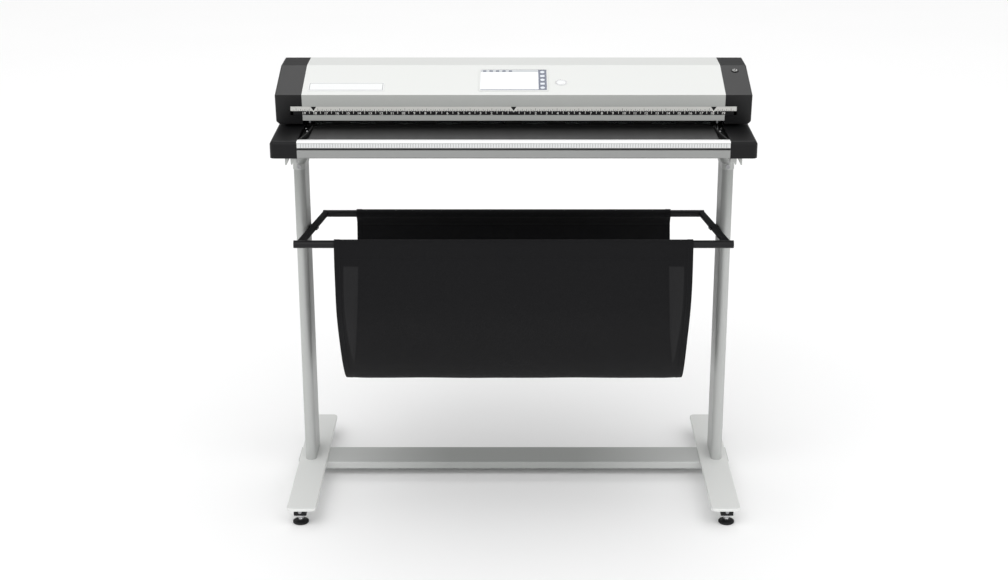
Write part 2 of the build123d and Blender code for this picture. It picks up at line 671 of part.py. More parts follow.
def make_scan_glass():
    """Flat glass that the sheet passes over."""
    with BuildPart() as scan_glass:
        with BuildSketch(Plane.XY.offset(GLASS_LOW)):
            with Locations((0, GLASS_Y)):
                Rectangle(2 * TABLE_HALF, GLASS_REAR - GLASS_FRONT)
        extrude(amount=GLASS_TOP - GLASS_LOW)
        chamfer(scan_glass.faces().sort_by(Axis.Z)[-1].edges(), 0.6)
    finish(scan_glass, "scan_glass")


def make_camera_bar():
    """Sealed optical unit under the glass, with its window slit."""
    height = 52.0
    floor = BELLY_BOTTOM + TRAY_SHEET
    with BuildPart() as camera_bar:
        with BuildSketch(Plane.XY.offset(floor)):
            with Locations((0, GLASS_Y)):
                RectangleRounded(OPTICS_LENGTH, 72, 4)
        extrude(amount=height)
        with BuildSketch(Plane.XY.offset(floor + height)):
            with Locations((0, GLASS_Y)):
                Rectangle(OPTICS_LENGTH - 30, 14)
        extrude(amount=-20, mode=Mode.SUBTRACT)
    finish(camera_bar, "camera_bar")


def sleeve_starts(length):
    """Left ends of a roller's evenly spaced sleeves."""
    first = -(SLEEVE_COUNT - 1) / 2 * SLEEVE_PITCH - length / 2
    return [first + number * SLEEVE_PITCH for number in range(SLEEVE_COUNT)]


def make_drive_roller(y, label):
    """Steel shaft with rubber sleeves that push the sheet."""
    shaft_half = 485.0
    core_half = 455.0
    sleeve_length = 90.0
    with BuildPart() as drive_roller:
        with BuildSketch(Plane.YZ.offset(-shaft_half)):
            with Locations((y, ROLLER_Z)):
                Circle(ROLLER_SHAFT_R)
        extrude(amount=2 * shaft_half)
        with BuildSketch(Plane.YZ.offset(-core_half)):
            with Locations((y, ROLLER_Z)):
                Circle(ROLLER_R - 1.5)
        extrude(amount=2 * core_half)
        for start in sleeve_starts(sleeve_length):
            with BuildSketch(Plane.YZ.offset(start)):
                with Locations((y, ROLLER_Z)):
                    Circle(ROLLER_R)
            extrude(amount=sleeve_length)
    finish(drive_roller, label)


def make_roller_bearings():
    """Four bearings in the end plates."""
    width = 4.0
    with BuildPart() as roller_bearings:
        for side in (-1, 1):
            with BuildSketch(Plane.YZ.offset(side * (TRAY_HALF - width))):
                with Locations((FRONT_ROLLER_Y, ROLLER_Z), (REAR_ROLLER_Y, ROLLER_Z)):
                    Circle(BEARING_R)
                    Circle(ROLLER_SHAFT_R + RUNNING, mode=Mode.SUBTRACT)
            extrude(amount=side * width)
    finish(roller_bearings, "roller_bearings")


def make_pulley(y, z, radius, bore, label):
    """Belt pulley with a flange on each side."""
    with BuildPart() as pulley:
        with BuildSketch(Plane.YZ.offset(PULLEY_X0)):
            with Locations((y, z)):
                Circle(radius)
                Circle(bore, mode=Mode.SUBTRACT)
        extrude(amount=PULLEY_X1 - PULLEY_X0)
        for start in (PULLEY_X0, PULLEY_X1 - PULLEY_FLANGE):
            with BuildSketch(Plane.YZ.offset(start)):
                with Locations((y, z)):
                    Circle(radius + PULLEY_FLANGE)
                    Circle(bore, mode=Mode.SUBTRACT)
            extrude(amount=PULLEY_FLANGE)
    finish(pulley, label)


def make_drive_belt():
    """Toothed belt around the motor pulley and the two roller pulleys."""
    slack = 0.3
    thick = 0.8
    centres = ((FRONT_ROLLER_Y, ROLLER_Z), (REAR_ROLLER_Y, ROLLER_Z))
    with BuildPart() as drive_belt:
        with BuildSketch(Plane.YZ.offset(PULLEY_X0 + 1.5)):
            with BuildSketch(mode=Mode.ADD):
                with Locations(*centres):
                    Circle(PULLEY_R + slack + thick)
                with Locations((MOTOR_Y, MOTOR_Z)):
                    Circle(MOTOR_PULLEY_R + slack + thick)
                make_hull()
            with BuildSketch(mode=Mode.SUBTRACT):
                with Locations(*centres):
                    Circle(PULLEY_R + slack)
                with Locations((MOTOR_Y, MOTOR_Z)):
                    Circle(MOTOR_PULLEY_R + slack)
                make_hull()
        extrude(amount=PULLEY_X1 - PULLEY_X0 - 3)
    finish(drive_belt, "drive_belt")


def make_drive_motor():
    """Square stepper motor on the tray's floor."""
    with BuildPart() as drive_motor:
        with BuildSketch(Plane.YZ.offset(MOTOR_X)):
            with Locations((MOTOR_Y, MOTOR_Z)):
                RectangleRounded(MOTOR_SIZE, MOTOR_SIZE, 4)
        extrude(amount=MOTOR_LENGTH)
        with BuildSketch(Plane.YZ.offset(MOTOR_X + MOTOR_LENGTH)):
            with Locations((MOTOR_Y, MOTOR_Z)):
                Circle(11)
        extrude(amount=2)
        with BuildSketch(Plane.XY.offset(BELLY_BOTTOM + TRAY_SHEET)):
            with Locations((MOTOR_X + MOTOR_LENGTH / 2, MOTOR_Y)):
                Rectangle(MOTOR_LENGTH - 6, MOTOR_SIZE + 18)
        extrude(amount=5)
    finish(drive_motor, "drive_motor")


def make_motor_pulley():
    """Small pulley with the motor's output shaft."""
    shaft_start = MOTOR_X + MOTOR_LENGTH + 2.5
    with BuildPart() as motor_pulley:
        with BuildSketch(Plane.YZ.offset(shaft_start)):
            with Locations((MOTOR_Y, MOTOR_Z)):
                Circle(MOTOR_SHAFT_R)
        extrude(amount=PULLEY_X1 + 2.5 - shaft_start)
        with BuildSketch(Plane.YZ.offset(PULLEY_X0)):
            with Locations((MOTOR_Y, MOTOR_Z)):
                Circle(MOTOR_PULLEY_R)
        extrude(amount=PULLEY_X1 - PULLEY_X0)
        for start in (PULLEY_X0, PULLEY_X1 - PULLEY_FLANGE):
            with BuildSketch(Plane.YZ.offset(start)):
                with Locations((MOTOR_Y, MOTOR_Z)):
                    Circle(MOTOR_PULLEY_R + PULLEY_FLANGE)
            extrude(amount=PULLEY_FLANGE)
    finish(motor_pulley, "motor_pulley")


def make_main_board():
    """Control board with its larger components, on four posts."""
    floor = BELLY_BOTTOM + TRAY_SHEET
    board_middle = (0, 150)
    post_height = 5.0
    board_thick = 1.6
    with BuildPart() as main_board:
        with BuildSketch(Plane.XY.offset(floor + post_height)):
            with Locations(board_middle):
                Rectangle(240, 130)
        extrude(amount=board_thick)
        with BuildSketch(Plane.XY.offset(floor)):
            with Locations(board_middle):
                with GridLocations(224, 114, 2, 2):
                    Circle(3)
        extrude(amount=post_height)
        # Two processors under heat sinks, and a bank of capacitors.
        with BuildSketch(Plane.XY.offset(floor + post_height + board_thick)):
            with Locations((-40, 140), (30, 160)):
                Rectangle(38, 38)
            with Locations((90, 150)):
                with GridLocations(14, 30, 2, 3):
                    Circle(5)
        extrude(amount=9)
    finish(main_board, "main_board")


def make_power_supply():
    """Mains supply in its slotted case."""
    floor = BELLY_BOTTOM + TRAY_SHEET
    case_middle = (-300, 130)
    case_height = 40.0
    with BuildPart() as power_supply:
        with BuildSketch(Plane.XY.offset(floor)):
            with Locations(case_middle):
                Rectangle(170, 95)
        extrude(amount=case_height)
        with BuildSketch(Plane.XY.offset(floor + case_height)):
            with Locations(case_middle):
                with GridLocations(10, 1, 12, 1):
                    SlotOverall(60, 4, rotation=90)
        extrude(amount=-3, mode=Mode.SUBTRACT)
    finish(power_supply, "power_supply")


def make_fan_housing():
    """Square fan frame with the bearing spider."""
    with BuildPart() as fan_housing:
        with BuildSketch(Plane.XZ.offset(-FAN_REAR)):
            with Locations((FAN_X, FAN_Z)):
                RectangleRounded(FAN_SIZE, FAN_SIZE, 4)
                Circle(FAN_BORE_R, mode=Mode.SUBTRACT)
        extrude(amount=FAN_REAR - FAN_FRONT)
        with BuildSketch(Plane.XZ.offset(-FAN_REAR)):
            with Locations((FAN_X, FAN_Z)):
                Rectangle(2 * FAN_BORE_R + 1, 3)
                Rectangle(3, 2 * FAN_BORE_R + 1)
                Circle(8)
        extrude(amount=2)
    finish(fan_housing, "fan_housing")


def make_fan_rotor():
    """Fan hub with seven pitched blades."""
    blade_count = 7
    pitch = math.radians(35)
    hub_rear = Plane.XZ.offset(-FAN_REAR + 2.6)
    with BuildPart() as fan_rotor:
        with BuildSketch(hub_rear):
            with Locations((FAN_X, FAN_Z)):
                Circle(9)
        extrude(amount=11.5)
        for number in range(blade_count):
            turn = 2 * math.pi * number / blade_count
            blade = Plane(
                origin=(FAN_X, FAN_REAR - 8.4, FAN_Z),
                x_dir=(math.cos(turn), 0, math.sin(turn)),
                z_dir=(
                    -math.sin(turn) * math.sin(pitch),
                    -math.cos(pitch),
                    math.cos(turn) * math.sin(pitch),
                ),
            )
            with BuildSketch(blade):
                with Locations((14.5, 0)):
                    Rectangle(13, 11)
            extrude(amount=0.6, both=True)
    finish(fan_rotor, "fan_rotor")


def make_connector_panel():
    """Metal plate behind the socket window."""
    middle = ((PANEL_X0 + PANEL_X1) / 2, (PANEL_LOW + PANEL_HIGH) / 2)
    play = 0.4
    with BuildPart() as connector_panel:
        with BuildSketch(Plane.XZ.offset(-PANEL_REAR)):
            with Locations(middle):
                Rectangle(PANEL_X1 - PANEL_X0, PANEL_HIGH - PANEL_LOW)
            with Locations((SOCKET_X, SOCKET_Z)):
                Rectangle(SOCKET_OUTER[0] + play, SOCKET_OUTER[1] + play, mode=Mode.SUBTRACT)
            with Locations((SWITCH_X, SOCKET_Z)):
                Rectangle(SWITCH_W + 5, SWITCH_H + 5, mode=Mode.SUBTRACT)
            with Locations(*[(x, SOCKET_Z) for x in PORT_XS]):
                Rectangle(PORT_OUTER[0] + play, PORT_OUTER[1] + play, mode=Mode.SUBTRACT)
        extrude(amount=PANEL_REAR - PANEL_FRONT)
    finish(connector_panel, "connector_panel")


def make_rear_sockets():
    """Mains inlet, switch frame and data sockets in the panel's windows."""
    face = Plane.XZ.offset(-(PANEL_REAR + 1.5))
    with BuildPart() as rear_sockets:
        with BuildSketch(face):
            with Locations((SOCKET_X, SOCKET_Z)):
                Rectangle(*SOCKET_OUTER)
            with Locations(*[(x, SOCKET_Z) for x in PORT_XS]):
                Rectangle(*PORT_OUTER)
            with Locations((SWITCH_X, SOCKET_Z)):
                Rectangle(SWITCH_W + 4.6, SWITCH_H + 4.6)
        extrude(amount=12)
        with BuildSketch(face):
            with Locations((SOCKET_X, SOCKET_Z)):
                Rectangle(*SOCKET_INNER)
            with Locations(*[(x, SOCKET_Z) for x in PORT_XS]):
                Rectangle(*PORT_INNER)
            with Locations((SWITCH_X, SOCKET_Z)):
                Rectangle(SWITCH_W + 0.8, SWITCH_H + 0.8)
        extrude(amount=9, mode=Mode.SUBTRACT)
    finish(rear_sockets, "rear_sockets")


def make_rocker_switch():
    """Rocker of the mains switch: two faces at a shallow angle, on a cross pivot."""
    half = SWITCH_H / 2 - 0.6
    with BuildPart() as rocker_switch:
        with BuildSketch(Plane.YZ.offset(SWITCH_X - SWITCH_W / 2)):
            with BuildLine():
                Polyline(
                    (SWITCH_PIVOT_Y - 1, SOCKET_Z - 3),
                    (SWITCH_PIVOT_Y + 2.4, SOCKET_Z - half),
                    (SWITCH_PIVOT_Y + 4.6, SOCKET_Z - half),
                    (SWITCH_PIVOT_Y + 5.2, SOCKET_Z),
                    (SWITCH_PIVOT_Y + 9.4, SOCKET_Z + half),
                    (SWITCH_PIVOT_Y + 5.0, SOCKET_Z + half),
                    (SWITCH_PIVOT_Y - 1, SOCKET_Z + 3),
                    close=True,
                )
            make_face()
        extrude(amount=SWITCH_W)
    finish(rocker_switch, "rocker_switch")


make_base_chassis()
make_feed_table()
make_front_rail()
make_scale_strip()
for side in (-1, 1):
    make_base_cap(side)
make_paper_guides()
make_rear_cover()
make_scan_glass()
make_camera_bar()
make_drive_roller(FRONT_ROLLER_Y, "front_drive_roller")
make_drive_roller(REAR_ROLLER_Y, "rear_drive_roller")
make_roller_bearings()
make_pulley(FRONT_ROLLER_Y, ROLLER_Z, PULLEY_R, ROLLER_SHAFT_R, "front_roller_pulley")
make_pulley(REAR_ROLLER_Y, ROLLER_Z, PULLEY_R, ROLLER_SHAFT_R, "rear_roller_pulley")
make_drive_belt()
make_drive_motor()
make_motor_pulley()
make_main_board()
make_power_supply()
make_fan_housing()
make_fan_rotor()
make_connector_panel()
make_rear_sockets()
make_rocker_switch()


# ==== lid =======================================================================

# Outline of the lid's shell, from the front slope's lower edge over the top to the rear.
LID_SHELL_POINTS = (
    (LID_FRONT_TOP_Y, LID_SLOPE_LOW_Z),
    (LID_FLAT_FRONT_Y, LID_TOP),
    (LID_FLAT_REAR_Y, LID_TOP),
    (LID_REAR_Y, LID_REAR_TOP_Z),
)


def make_lid_cover():
    """White folded cover: front slope, flat top, rear slope and rear wall."""
    slope_angle = math.atan2(slope_rise, slope_run)
    lip_y = LID_FRONT_TOP_Y + SHELL / math.sin(slope_angle)
    with BuildPart() as lid_cover:
        with BuildSketch(Plane.YZ.offset(-CAP_INNER)):
            with BuildLine():
                Polyline(
                    *LID_SHELL_POINTS,
                    (LID_REAR_Y, LID_BOTTOM),
                    (LID_REAR_Y - SHELL, LID_BOTTOM),
                    (LID_REAR_Y - SHELL, LID_REAR_TOP_Z - 1.6),
                    (LID_FLAT_REAR_Y - 0.5, LID_TOP - SHELL),
                    (LID_FLAT_FRONT_Y + 0.4, LID_TOP - SHELL),
                    (lip_y, LID_SLOPE_LOW_Z),
                    close=True,
                )
            make_face()
        extrude(amount=2 * CAP_INNER)
        long_edges = lid_cover.edges().filter_by(Axis.X)
        fillet(long_edges.group_by(Axis.Z)[-1], 10)
    finish(lid_cover, "lid_cover")


def make_lid_cap(side):
    """Dark end cap of the lid, hollow towards the cover, with a seat for the strips' ends."""
    front_low = lid_front(LID_CAP_BOTTOM)
    outside = side * HALF_WIDTH
    floor = LID_CAP_BOTTOM + 11
    seat_front = LID_FRONT_TOP_Y - 3
    seat_depth = 8.0
    with BuildPart() as lid_cap:
        with BuildSketch(Plane.YZ.offset(side * CAP_INNER)):
            with BuildLine():
                Polyline(
                    *LID_SHELL_POINTS,
                    (LID_REAR_Y, LID_CAP_BOTTOM),
                    (front_low, LID_CAP_BOTTOM),
                    close=True,
                )
            make_face()
        extrude(amount=side * CAP_WIDTH)
        cross_edges = lid_cap.edges().filter_by(Axis.X)
        fillet(cross_edges.group_by(Axis.Z)[-1], 10)
        low_edge = [
            e
            for e in lid_cap.edges()
            if abs(e.center().X - outside) < 0.1 and abs(e.center().Z - LID_CAP_BOTTOM) < 0.1
        ]
        chamfer(low_edge, 7)
        rim = [
            e
            for e in lid_cap.edges()
            if abs(e.center().X - outside) < 0.1 and e.center().Z > LID_CAP_BOTTOM + 8
        ]
        fillet(rim, 3)
        # Hollow, open towards the middle of the scanner.
        with BuildSketch(Plane.YZ.offset(side * CAP_INNER)):
            with BuildLine():
                Polyline(
                    (LID_FRONT_TOP_Y + CAP_WALL + 0.4, LID_SLOPE_LOW_Z - 2.2),
                    (LID_FLAT_FRONT_Y + 0.5, LID_TOP - CAP_WALL),
                    (LID_FLAT_REAR_Y - 0.6, LID_TOP - CAP_WALL),
                    (LID_REAR_Y - CAP_WALL, LID_REAR_TOP_Z - 2),
                    (LID_REAR_Y - CAP_WALL, floor),
                    (front_low + 4, floor),
                    close=True,
                )
            make_face()
        extrude(amount=side * (CAP_WIDTH - CAP_WALL - 3), mode=Mode.SUBTRACT)
        # Seat where the ruler and the patterned band run into the cap.
        with BuildSketch(Plane.XZ.offset(-seat_front)):
            with Locations((side * (CAP_INNER + RULER_HALF) / 2, (RULER_HIGH + BAND_LOW) / 2)):
                Rectangle(RULER_HALF - CAP_INNER + 0.6, RULER_HIGH - BAND_LOW + 0.4)
        extrude(amount=-(front_low + seat_depth - seat_front), mode=Mode.SUBTRACT)
        if side > 0:
            with BuildSketch(SLOPE.offset(-CAP_WALL - 3)):
                with Locations((BUTTON_X, BUTTON_UP)):
                    Circle(BUTTON_R + 0.35)
            extrude(amount=12, mode=Mode.SUBTRACT)
    finish(lid_cap, f"lid_cap_{side_name(side)}")


def make_power_button():
    """Round button in the right cap's slope, with a skirt behind the wall."""
    behind_wall = CAP_WALL + 3
    gap = 0.6                   # between the wall's inner face and the skirt
    proud = 1.4
    with BuildPart() as power_button:
        with BuildSketch(SLOPE.offset(-behind_wall)):
            with Locations((BUTTON_X, BUTTON_UP)):
                Circle(BUTTON_R)
        extrude(amount=behind_wall + proud)
        fillet(power_button.faces().sort_by(Axis.Z)[-1].edges(), 0.6)
        with BuildSketch(SLOPE.offset(-behind_wall - gap)):
            with Locations((BUTTON_X, BUTTON_UP)):
                Circle(BUTTON_R + 2)
        extrude(amount=-2)
        with BuildSketch(SLOPE.offset(-behind_wall - gap)):
            with Locations((BUTTON_X, BUTTON_UP)):
                Circle(BUTTON_R - 1)
        extrude(amount=gap)
    finish(power_button, "power_button")


def make_lid_front_panel():
    """Grey upright front: upper band, groove for the strips, lower lip with an inward return."""
    return_y = LID_FRONT_LOW_Y + 17
    return_thick = 3.0

    def on_front(z, depth=0.0):
        return (lid_front(z) + depth, z)

    with BuildPart() as lid_front_panel:
        with BuildSketch(Plane.YZ.offset(-CAP_INNER + 0.2)):
            with BuildLine():
                Polyline(
                    on_front(LID_SLOPE_LOW_Z),
                    on_front(RULER_HIGH),
                    on_front(RULER_HIGH, GROOVE_DEPTH),
                    on_front(BAND_LOW, GROOVE_DEPTH),
                    on_front(BAND_LOW),
                    on_front(LID_BOTTOM),
                    (return_y, LID_BOTTOM),
                    (return_y, LID_BOTTOM + return_thick),
                    on_front(LID_BOTTOM + return_thick, PANEL_DEPTH),
                    on_front(LID_SLOPE_LOW_Z, PANEL_DEPTH),
                    close=True,
                )
            make_face()
        extrude(amount=2 * CAP_INNER - 0.4)
    finish(lid_front_panel, "lid_front_panel")


def make_front_strip(z_low, z_high, depth, half_length, label):
    """Flat strip in the panel's groove, leaning with the front; its front is depth behind it."""
    with BuildPart() as front_strip:
        with BuildSketch(Plane.YZ.offset(-half_length)):
            with BuildLine():
                Polyline(
                    (lid_front(z_low) + depth, z_low),
                    (lid_front(z_high) + depth, z_high),
                    (lid_front(z_high) + GROOVE_DEPTH, z_high),
                    (lid_front(z_low) + GROOVE_DEPTH, z_low),
                    close=True,
                )
            make_face()
        extrude(amount=2 * half_length)
    finish(front_strip, label)


def make_lid_chassis():
    """Steel floor of the lid, with hanging ears that carry the pinch rollers."""
    front = LID_FRONT_LOW_Y + PANEL_DEPTH + 1
    rear = LID_REAR_Y - SHELL - 0.2
    flange_height = 25.0
    ear_thick = 4.0
    ear_low = PINCH_Z - 6
    with BuildPart() as lid_chassis:
        with BuildSketch(Plane.XY.offset(CHASSIS_LOW)):
            with Locations((0, (front + rear) / 2)):
                Rectangle(2 * CAP_INNER - 2, rear - front)
        extrude(amount=CHASSIS_SHEET)
        # Stiffening flange along the rear wall.
        with BuildSketch(Plane.XY.offset(CHASSIS_LOW)):
            with Locations((0, rear - 1)):
                Rectangle(2 * CAP_INNER - 2, 2)
        extrude(amount=flange_height)
        for x in (-PINCH_BRACKET_X - ear_thick / 2, PINCH_BRACKET_X - ear_thick / 2):
            with BuildSketch(Plane.YZ.offset(x)):
                for y in (FRONT_ROLLER_Y, REAR_ROLLER_Y):
                    with BuildLine():
                        Polyline(
                            (y - 7, CHASSIS_LOW),
                            (y - 7, ear_low + 2),
                            (y - 5, ear_low),
                            (y + 5, ear_low),
                            (y + 7, ear_low + 2),
                            (y + 7, CHASSIS_LOW),
                            close=True,
                        )
                    make_face()
                with Locations((FRONT_ROLLER_Y, PINCH_Z), (REAR_ROLLER_Y, PINCH_Z)):
                    Circle(PINCH_SHAFT_R + RUNNING, mode=Mode.SUBTRACT)
            extrude(amount=ear_thick)
    finish(lid_chassis, "lid_chassis")


def make_pinch_rollers(y, label):
    """Thin shaft with rubber wheels that press the sheet onto the drive roller."""
    shaft_half = PINCH_BRACKET_X + 4
    wheel_length = 40.0
    with BuildPart() as pinch_rollers:
        with BuildSketch(Plane.YZ.offset(-shaft_half)):
            with Locations((y, PINCH_Z)):
                Circle(PINCH_SHAFT_R)
        extrude(amount=2 * shaft_half)
        for start in sleeve_starts(wheel_length):
            with BuildSketch(Plane.YZ.offset(start)):
                with Locations((y, PINCH_Z)):
                    Circle(PINCH_R)
            extrude(amount=wheel_length)
    finish(pinch_rollers, label)


def make_pressure_plate():
    """White background plate over the glass, hung from the lid's floor by posts."""
    plate_low = TABLE_TOP + 1.5
    plate_high = TABLE_TOP + 6
    with BuildPart() as pressure_plate:
        with BuildSketch(Plane.XY.offset(plate_low)):
            with Locations((0, GLASS_Y)):
                RectangleRounded(OPTICS_LENGTH, 100, 3)
        extrude(amount=plate_high - plate_low)
        with BuildSketch(Plane.XY.offset(plate_high)):
            with Locations((0, GLASS_Y)):
                with GridLocations(400, 60, 3, 2):
                    Circle(4)
        extrude(amount=CHASSIS_LOW - plate_high)
    finish(pressure_plate, "pressure_plate")


def make_screen_bezel():
    """Thin frame of the touchscreen on the cover's front slope."""
    with BuildPart() as screen_bezel:
        with BuildSketch(SLOPE):
            with Locations((0, SCREEN_UP)):
                RectangleRounded(SCREEN_W, SCREEN_H, 3)
                RectangleRounded(SCREEN_W - 6, SCREEN_H - 6, 1.5, mode=Mode.SUBTRACT)
        extrude(amount=1.8)
    finish(screen_bezel, "screen_bezel")


def make_screen_display():
    """Glass face of the touchscreen, a little behind its frame's front."""
    with BuildPart() as screen_display:
        with BuildSketch(SLOPE):
            with Locations((0, SCREEN_UP)):
                RectangleRounded(SCREEN_W - 6.4, SCREEN_H - 6.4, 1.4)
        extrude(amount=1.0)
    finish(screen_display, "screen_display")


def make_trim_plates():
    """Blank plate at the left of the slope and blank oval badge beside the screen."""
    plate_x, plate_up = -386.0, 37.0
    badge_x, badge_up = 110.0, 57.0
    with BuildPart() as trim_plates:
        with BuildSketch(SLOPE):
            with Locations((plate_x, plate_up)):
                RectangleRounded(175, 38, 2)
            with Locations((badge_x, badge_up)):
                Ellipse(13.5, 12)
        extrude(amount=1.2)
    finish(trim_plates, "trim_plates")


# ==== hinges ====================================================================

def make_base_hinge_lugs():
    """Two upright lugs per hinge on the base's end housings."""
    with BuildPart() as base_hinge_lugs:
        for side in (-1, 1):
            for start in (HINGE_X - LUG_GAP - LUG_THICK, HINGE_X + LUG_GAP):
                with BuildSketch(Plane.YZ.offset(side * start)):
                    with Locations((HINGE_Y, HINGE_Z)):
                        Circle(KNUCKLE_R)
                    with Locations((HINGE_Y, (HINGE_Z + TABLE_TOP) / 2)):
                        Rectangle(2 * KNUCKLE_R, HINGE_Z - TABLE_TOP)
                    with Locations((HINGE_Y - 8, TABLE_TOP + 2)):
                        Rectangle(28, 4)
                    with Locations((HINGE_Y, HINGE_Z)):
                        Circle(HINGE_PIN_R + 0.02, mode=Mode.SUBTRACT)
                extrude(amount=side * LUG_THICK)
    finish(base_hinge_lugs, "base_hinge_lugs")


def make_hinge_pins():
    """Hinge pins with a flat head at each end."""
    half = LUG_GAP + LUG_THICK
    with BuildPart() as hinge_pins:
        for side in (-1, 1):
            with BuildSketch(Plane.YZ.offset(side * (HINGE_X - half))):
                with Locations((HINGE_Y, HINGE_Z)):
                    Circle(HINGE_PIN_R)
            extrude(amount=side * 2 * half)
            for start, way in ((HINGE_X - half, -1), (HINGE_X + half, 1)):
                with BuildSketch(Plane.YZ.offset(side * start)):
                    with Locations((HINGE_Y, HINGE_Z)):
                        Circle(HINGE_PIN_R + 1.5)
                extrude(amount=side * way * 1.2)
    finish(hinge_pins, "hinge_pins")


def make_lid_hinge_leaves():
    """Leaf on each lid cap's rear wall, ending in a knuckle between the lugs."""
    half = LUG_GAP - 0.4
    with BuildPart() as lid_hinge_leaves:
        for side in (-1, 1):
            with BuildSketch(Plane.YZ.offset(side * (HINGE_X - half))):
                with Locations((HINGE_Y, HINGE_Z)):
                    Circle(KNUCKLE_R)
                with Locations(((LID_REAR_Y + HINGE_Y) / 2, HINGE_Z + 2)):
                    Rectangle(HINGE_Y - LID_REAR_Y, 7.8)
                with Locations((LID_REAR_Y + 1.5, HINGE_Z + 14)):
                    Rectangle(3, 34)
                with Locations((HINGE_Y, HINGE_Z)):
                    Circle(HINGE_PIN_R + RUNNING, mode=Mode.SUBTRACT)
            extrude(amount=side * 2 * half)
    finish(lid_hinge_leaves, "lid_hinge_leaves")


make_lid_cover()
for side in (-1, 1):
    make_lid_cap(side)
make_power_button()
make_lid_front_panel()
make_front_strip(RULER_LOW, RULER_HIGH, 1.0, RULER_HALF, "ruler_strip")
make_front_strip(BAND_LOW, RULER_LOW, 2.0, BAND_HALF, "pattern_band")
make_lid_chassis()
make_pinch_rollers(FRONT_ROLLER_Y, "front_pinch_rollers")
make_pinch_rollers(REAR_ROLLER_Y, "rear_pinch_rollers")
make_pressure_plate()
make_screen_bezel()
make_screen_display()
make_trim_plates()
make_base_hinge_lugs()
make_hinge_pins()
make_lid_hinge_leaves()


# ==== basket ====================================================================

def side_tube_line(side):
    """Start, direction and length of a side tube's middle line."""
    front = Vector(side * SIDE_FRONT_X, *BASKET_FRONT)
    rear = Vector(side * SIDE_REAR_X, *BASKET_REAR)
    return front, (rear - front).normalized(), (rear - front).length


def make_cross_tube(place, half_length, label):
    """Steel tube across the basket."""
    with BuildPart() as cross_tube:
        with BuildSketch(Plane.YZ.offset(-half_length)):
            with Locations(place):
                Circle(TUBE_R)
                Circle(TUBE_R - TUBE_WALL, mode=Mode.SUBTRACT)
        extrude(amount=2 * half_length)
    finish(cross_tube, label)


def make_side_tubes():
    """Two sloping side tubes whose ends are shaped to the cross tubes."""
    with BuildPart() as side_tubes:
        for side in (-1, 1):
            front, direction, length = side_tube_line(side)
            with BuildSketch(Plane(origin=front, z_dir=direction)):
                Circle(SIDE_TUBE_R)
                Circle(SIDE_TUBE_R - TUBE_WALL, mode=Mode.SUBTRACT)
            extrude(amount=length)
            with BuildSketch(Plane.YZ.offset(side * (SIDE_REAR_X - SIDE_TUBE_R - 4))):
                with Locations(*[(y, side_tube_at(y)[1]) for y in SADDLE_SCREW_YS]):
                    Circle(SADDLE_SCREW_R + 0.1)
            extrude(amount=side * 40, mode=Mode.SUBTRACT)
        with BuildSketch(Plane.YZ):
            with Locations(BASKET_FRONT, BASKET_REAR):
                Circle(TUBE_R + 0.02)
        extrude(amount=HALF_WIDTH, both=True, mode=Mode.SUBTRACT)
    finish(side_tubes, "basket_side_tubes")


def make_basket_fittings():
    """End plugs of the cross tubes, and the saddles between the side tubes and the legs."""
    plug_places = ((BASKET_FRONT, BASKET_FRONT_HALF), (BASKET_REAR, BASKET_REAR_HALF))
    plug_depth = 12.0
    leg_face = LEG_X - LEG_WIDTH / 2
    saddle_length, saddle_height, saddle_thick = 44.0, 13.0, 7.0
    saddle_z = side_tube_at(0)[1]
    slope = math.degrees(math.atan2(BASKET_REAR[1] - BASKET_FRONT[1], BASKET_REAR[0] - BASKET_FRONT[0]))
    with BuildPart() as basket_fittings:
        for side in (-1, 1):
            for place, half_length in plug_places:
                with BuildSketch(Plane.YZ.offset(side * half_length)):
                    with Locations(place):
                        Circle(TUBE_R)
                extrude(amount=side * PLUG_RIM)
                with BuildSketch(Plane.YZ.offset(side * half_length)):
                    with Locations(place):
                        Circle(TUBE_R - TUBE_WALL - 0.1)
                extrude(amount=-side * plug_depth)
            with BuildSketch(Plane.YZ.offset(side * leg_face)):
                with Locations(Location((0, saddle_z, 0), (0, 0, slope))):
                    RectangleRounded(saddle_length, saddle_height, 3)
                with Locations(*[(y, side_tube_at(y)[1]) for y in SADDLE_SCREW_YS]):
                    Circle(SADDLE_SCREW_R + 0.1, mode=Mode.SUBTRACT)
            extrude(amount=-side * saddle_thick)
            front, direction, length = side_tube_line(side)
            with BuildSketch(Plane(origin=front, z_dir=direction)):
                Circle(SIDE_TUBE_R + 0.05)
            extrude(amount=length - 2 * TUBE_R, mode=Mode.SUBTRACT)
    finish(basket_fittings, "basket_fittings")


# Middle of the cloth in the YZ plane, from the front loop down and up to the rear loop.
BAG_PATH = (
    (BASKET_FRONT[0] - LOOP_MIDDLE, BASKET_FRONT[1]),
    (-279.0, 618.0),
    (-269.0, 527.0),
    (-237.0, 445.0),
    (-186.0, 355.0),
    (-122.0, 301.0),
    (-10.0, 272.0),
    (104.0, 301.0),
    (187.0, 374.0),
    (234.0, 465.0),
    (256.0, 545.0),
    (BASKET_REAR[0] + LOOP_MIDDLE, BASKET_REAR[1]),
)


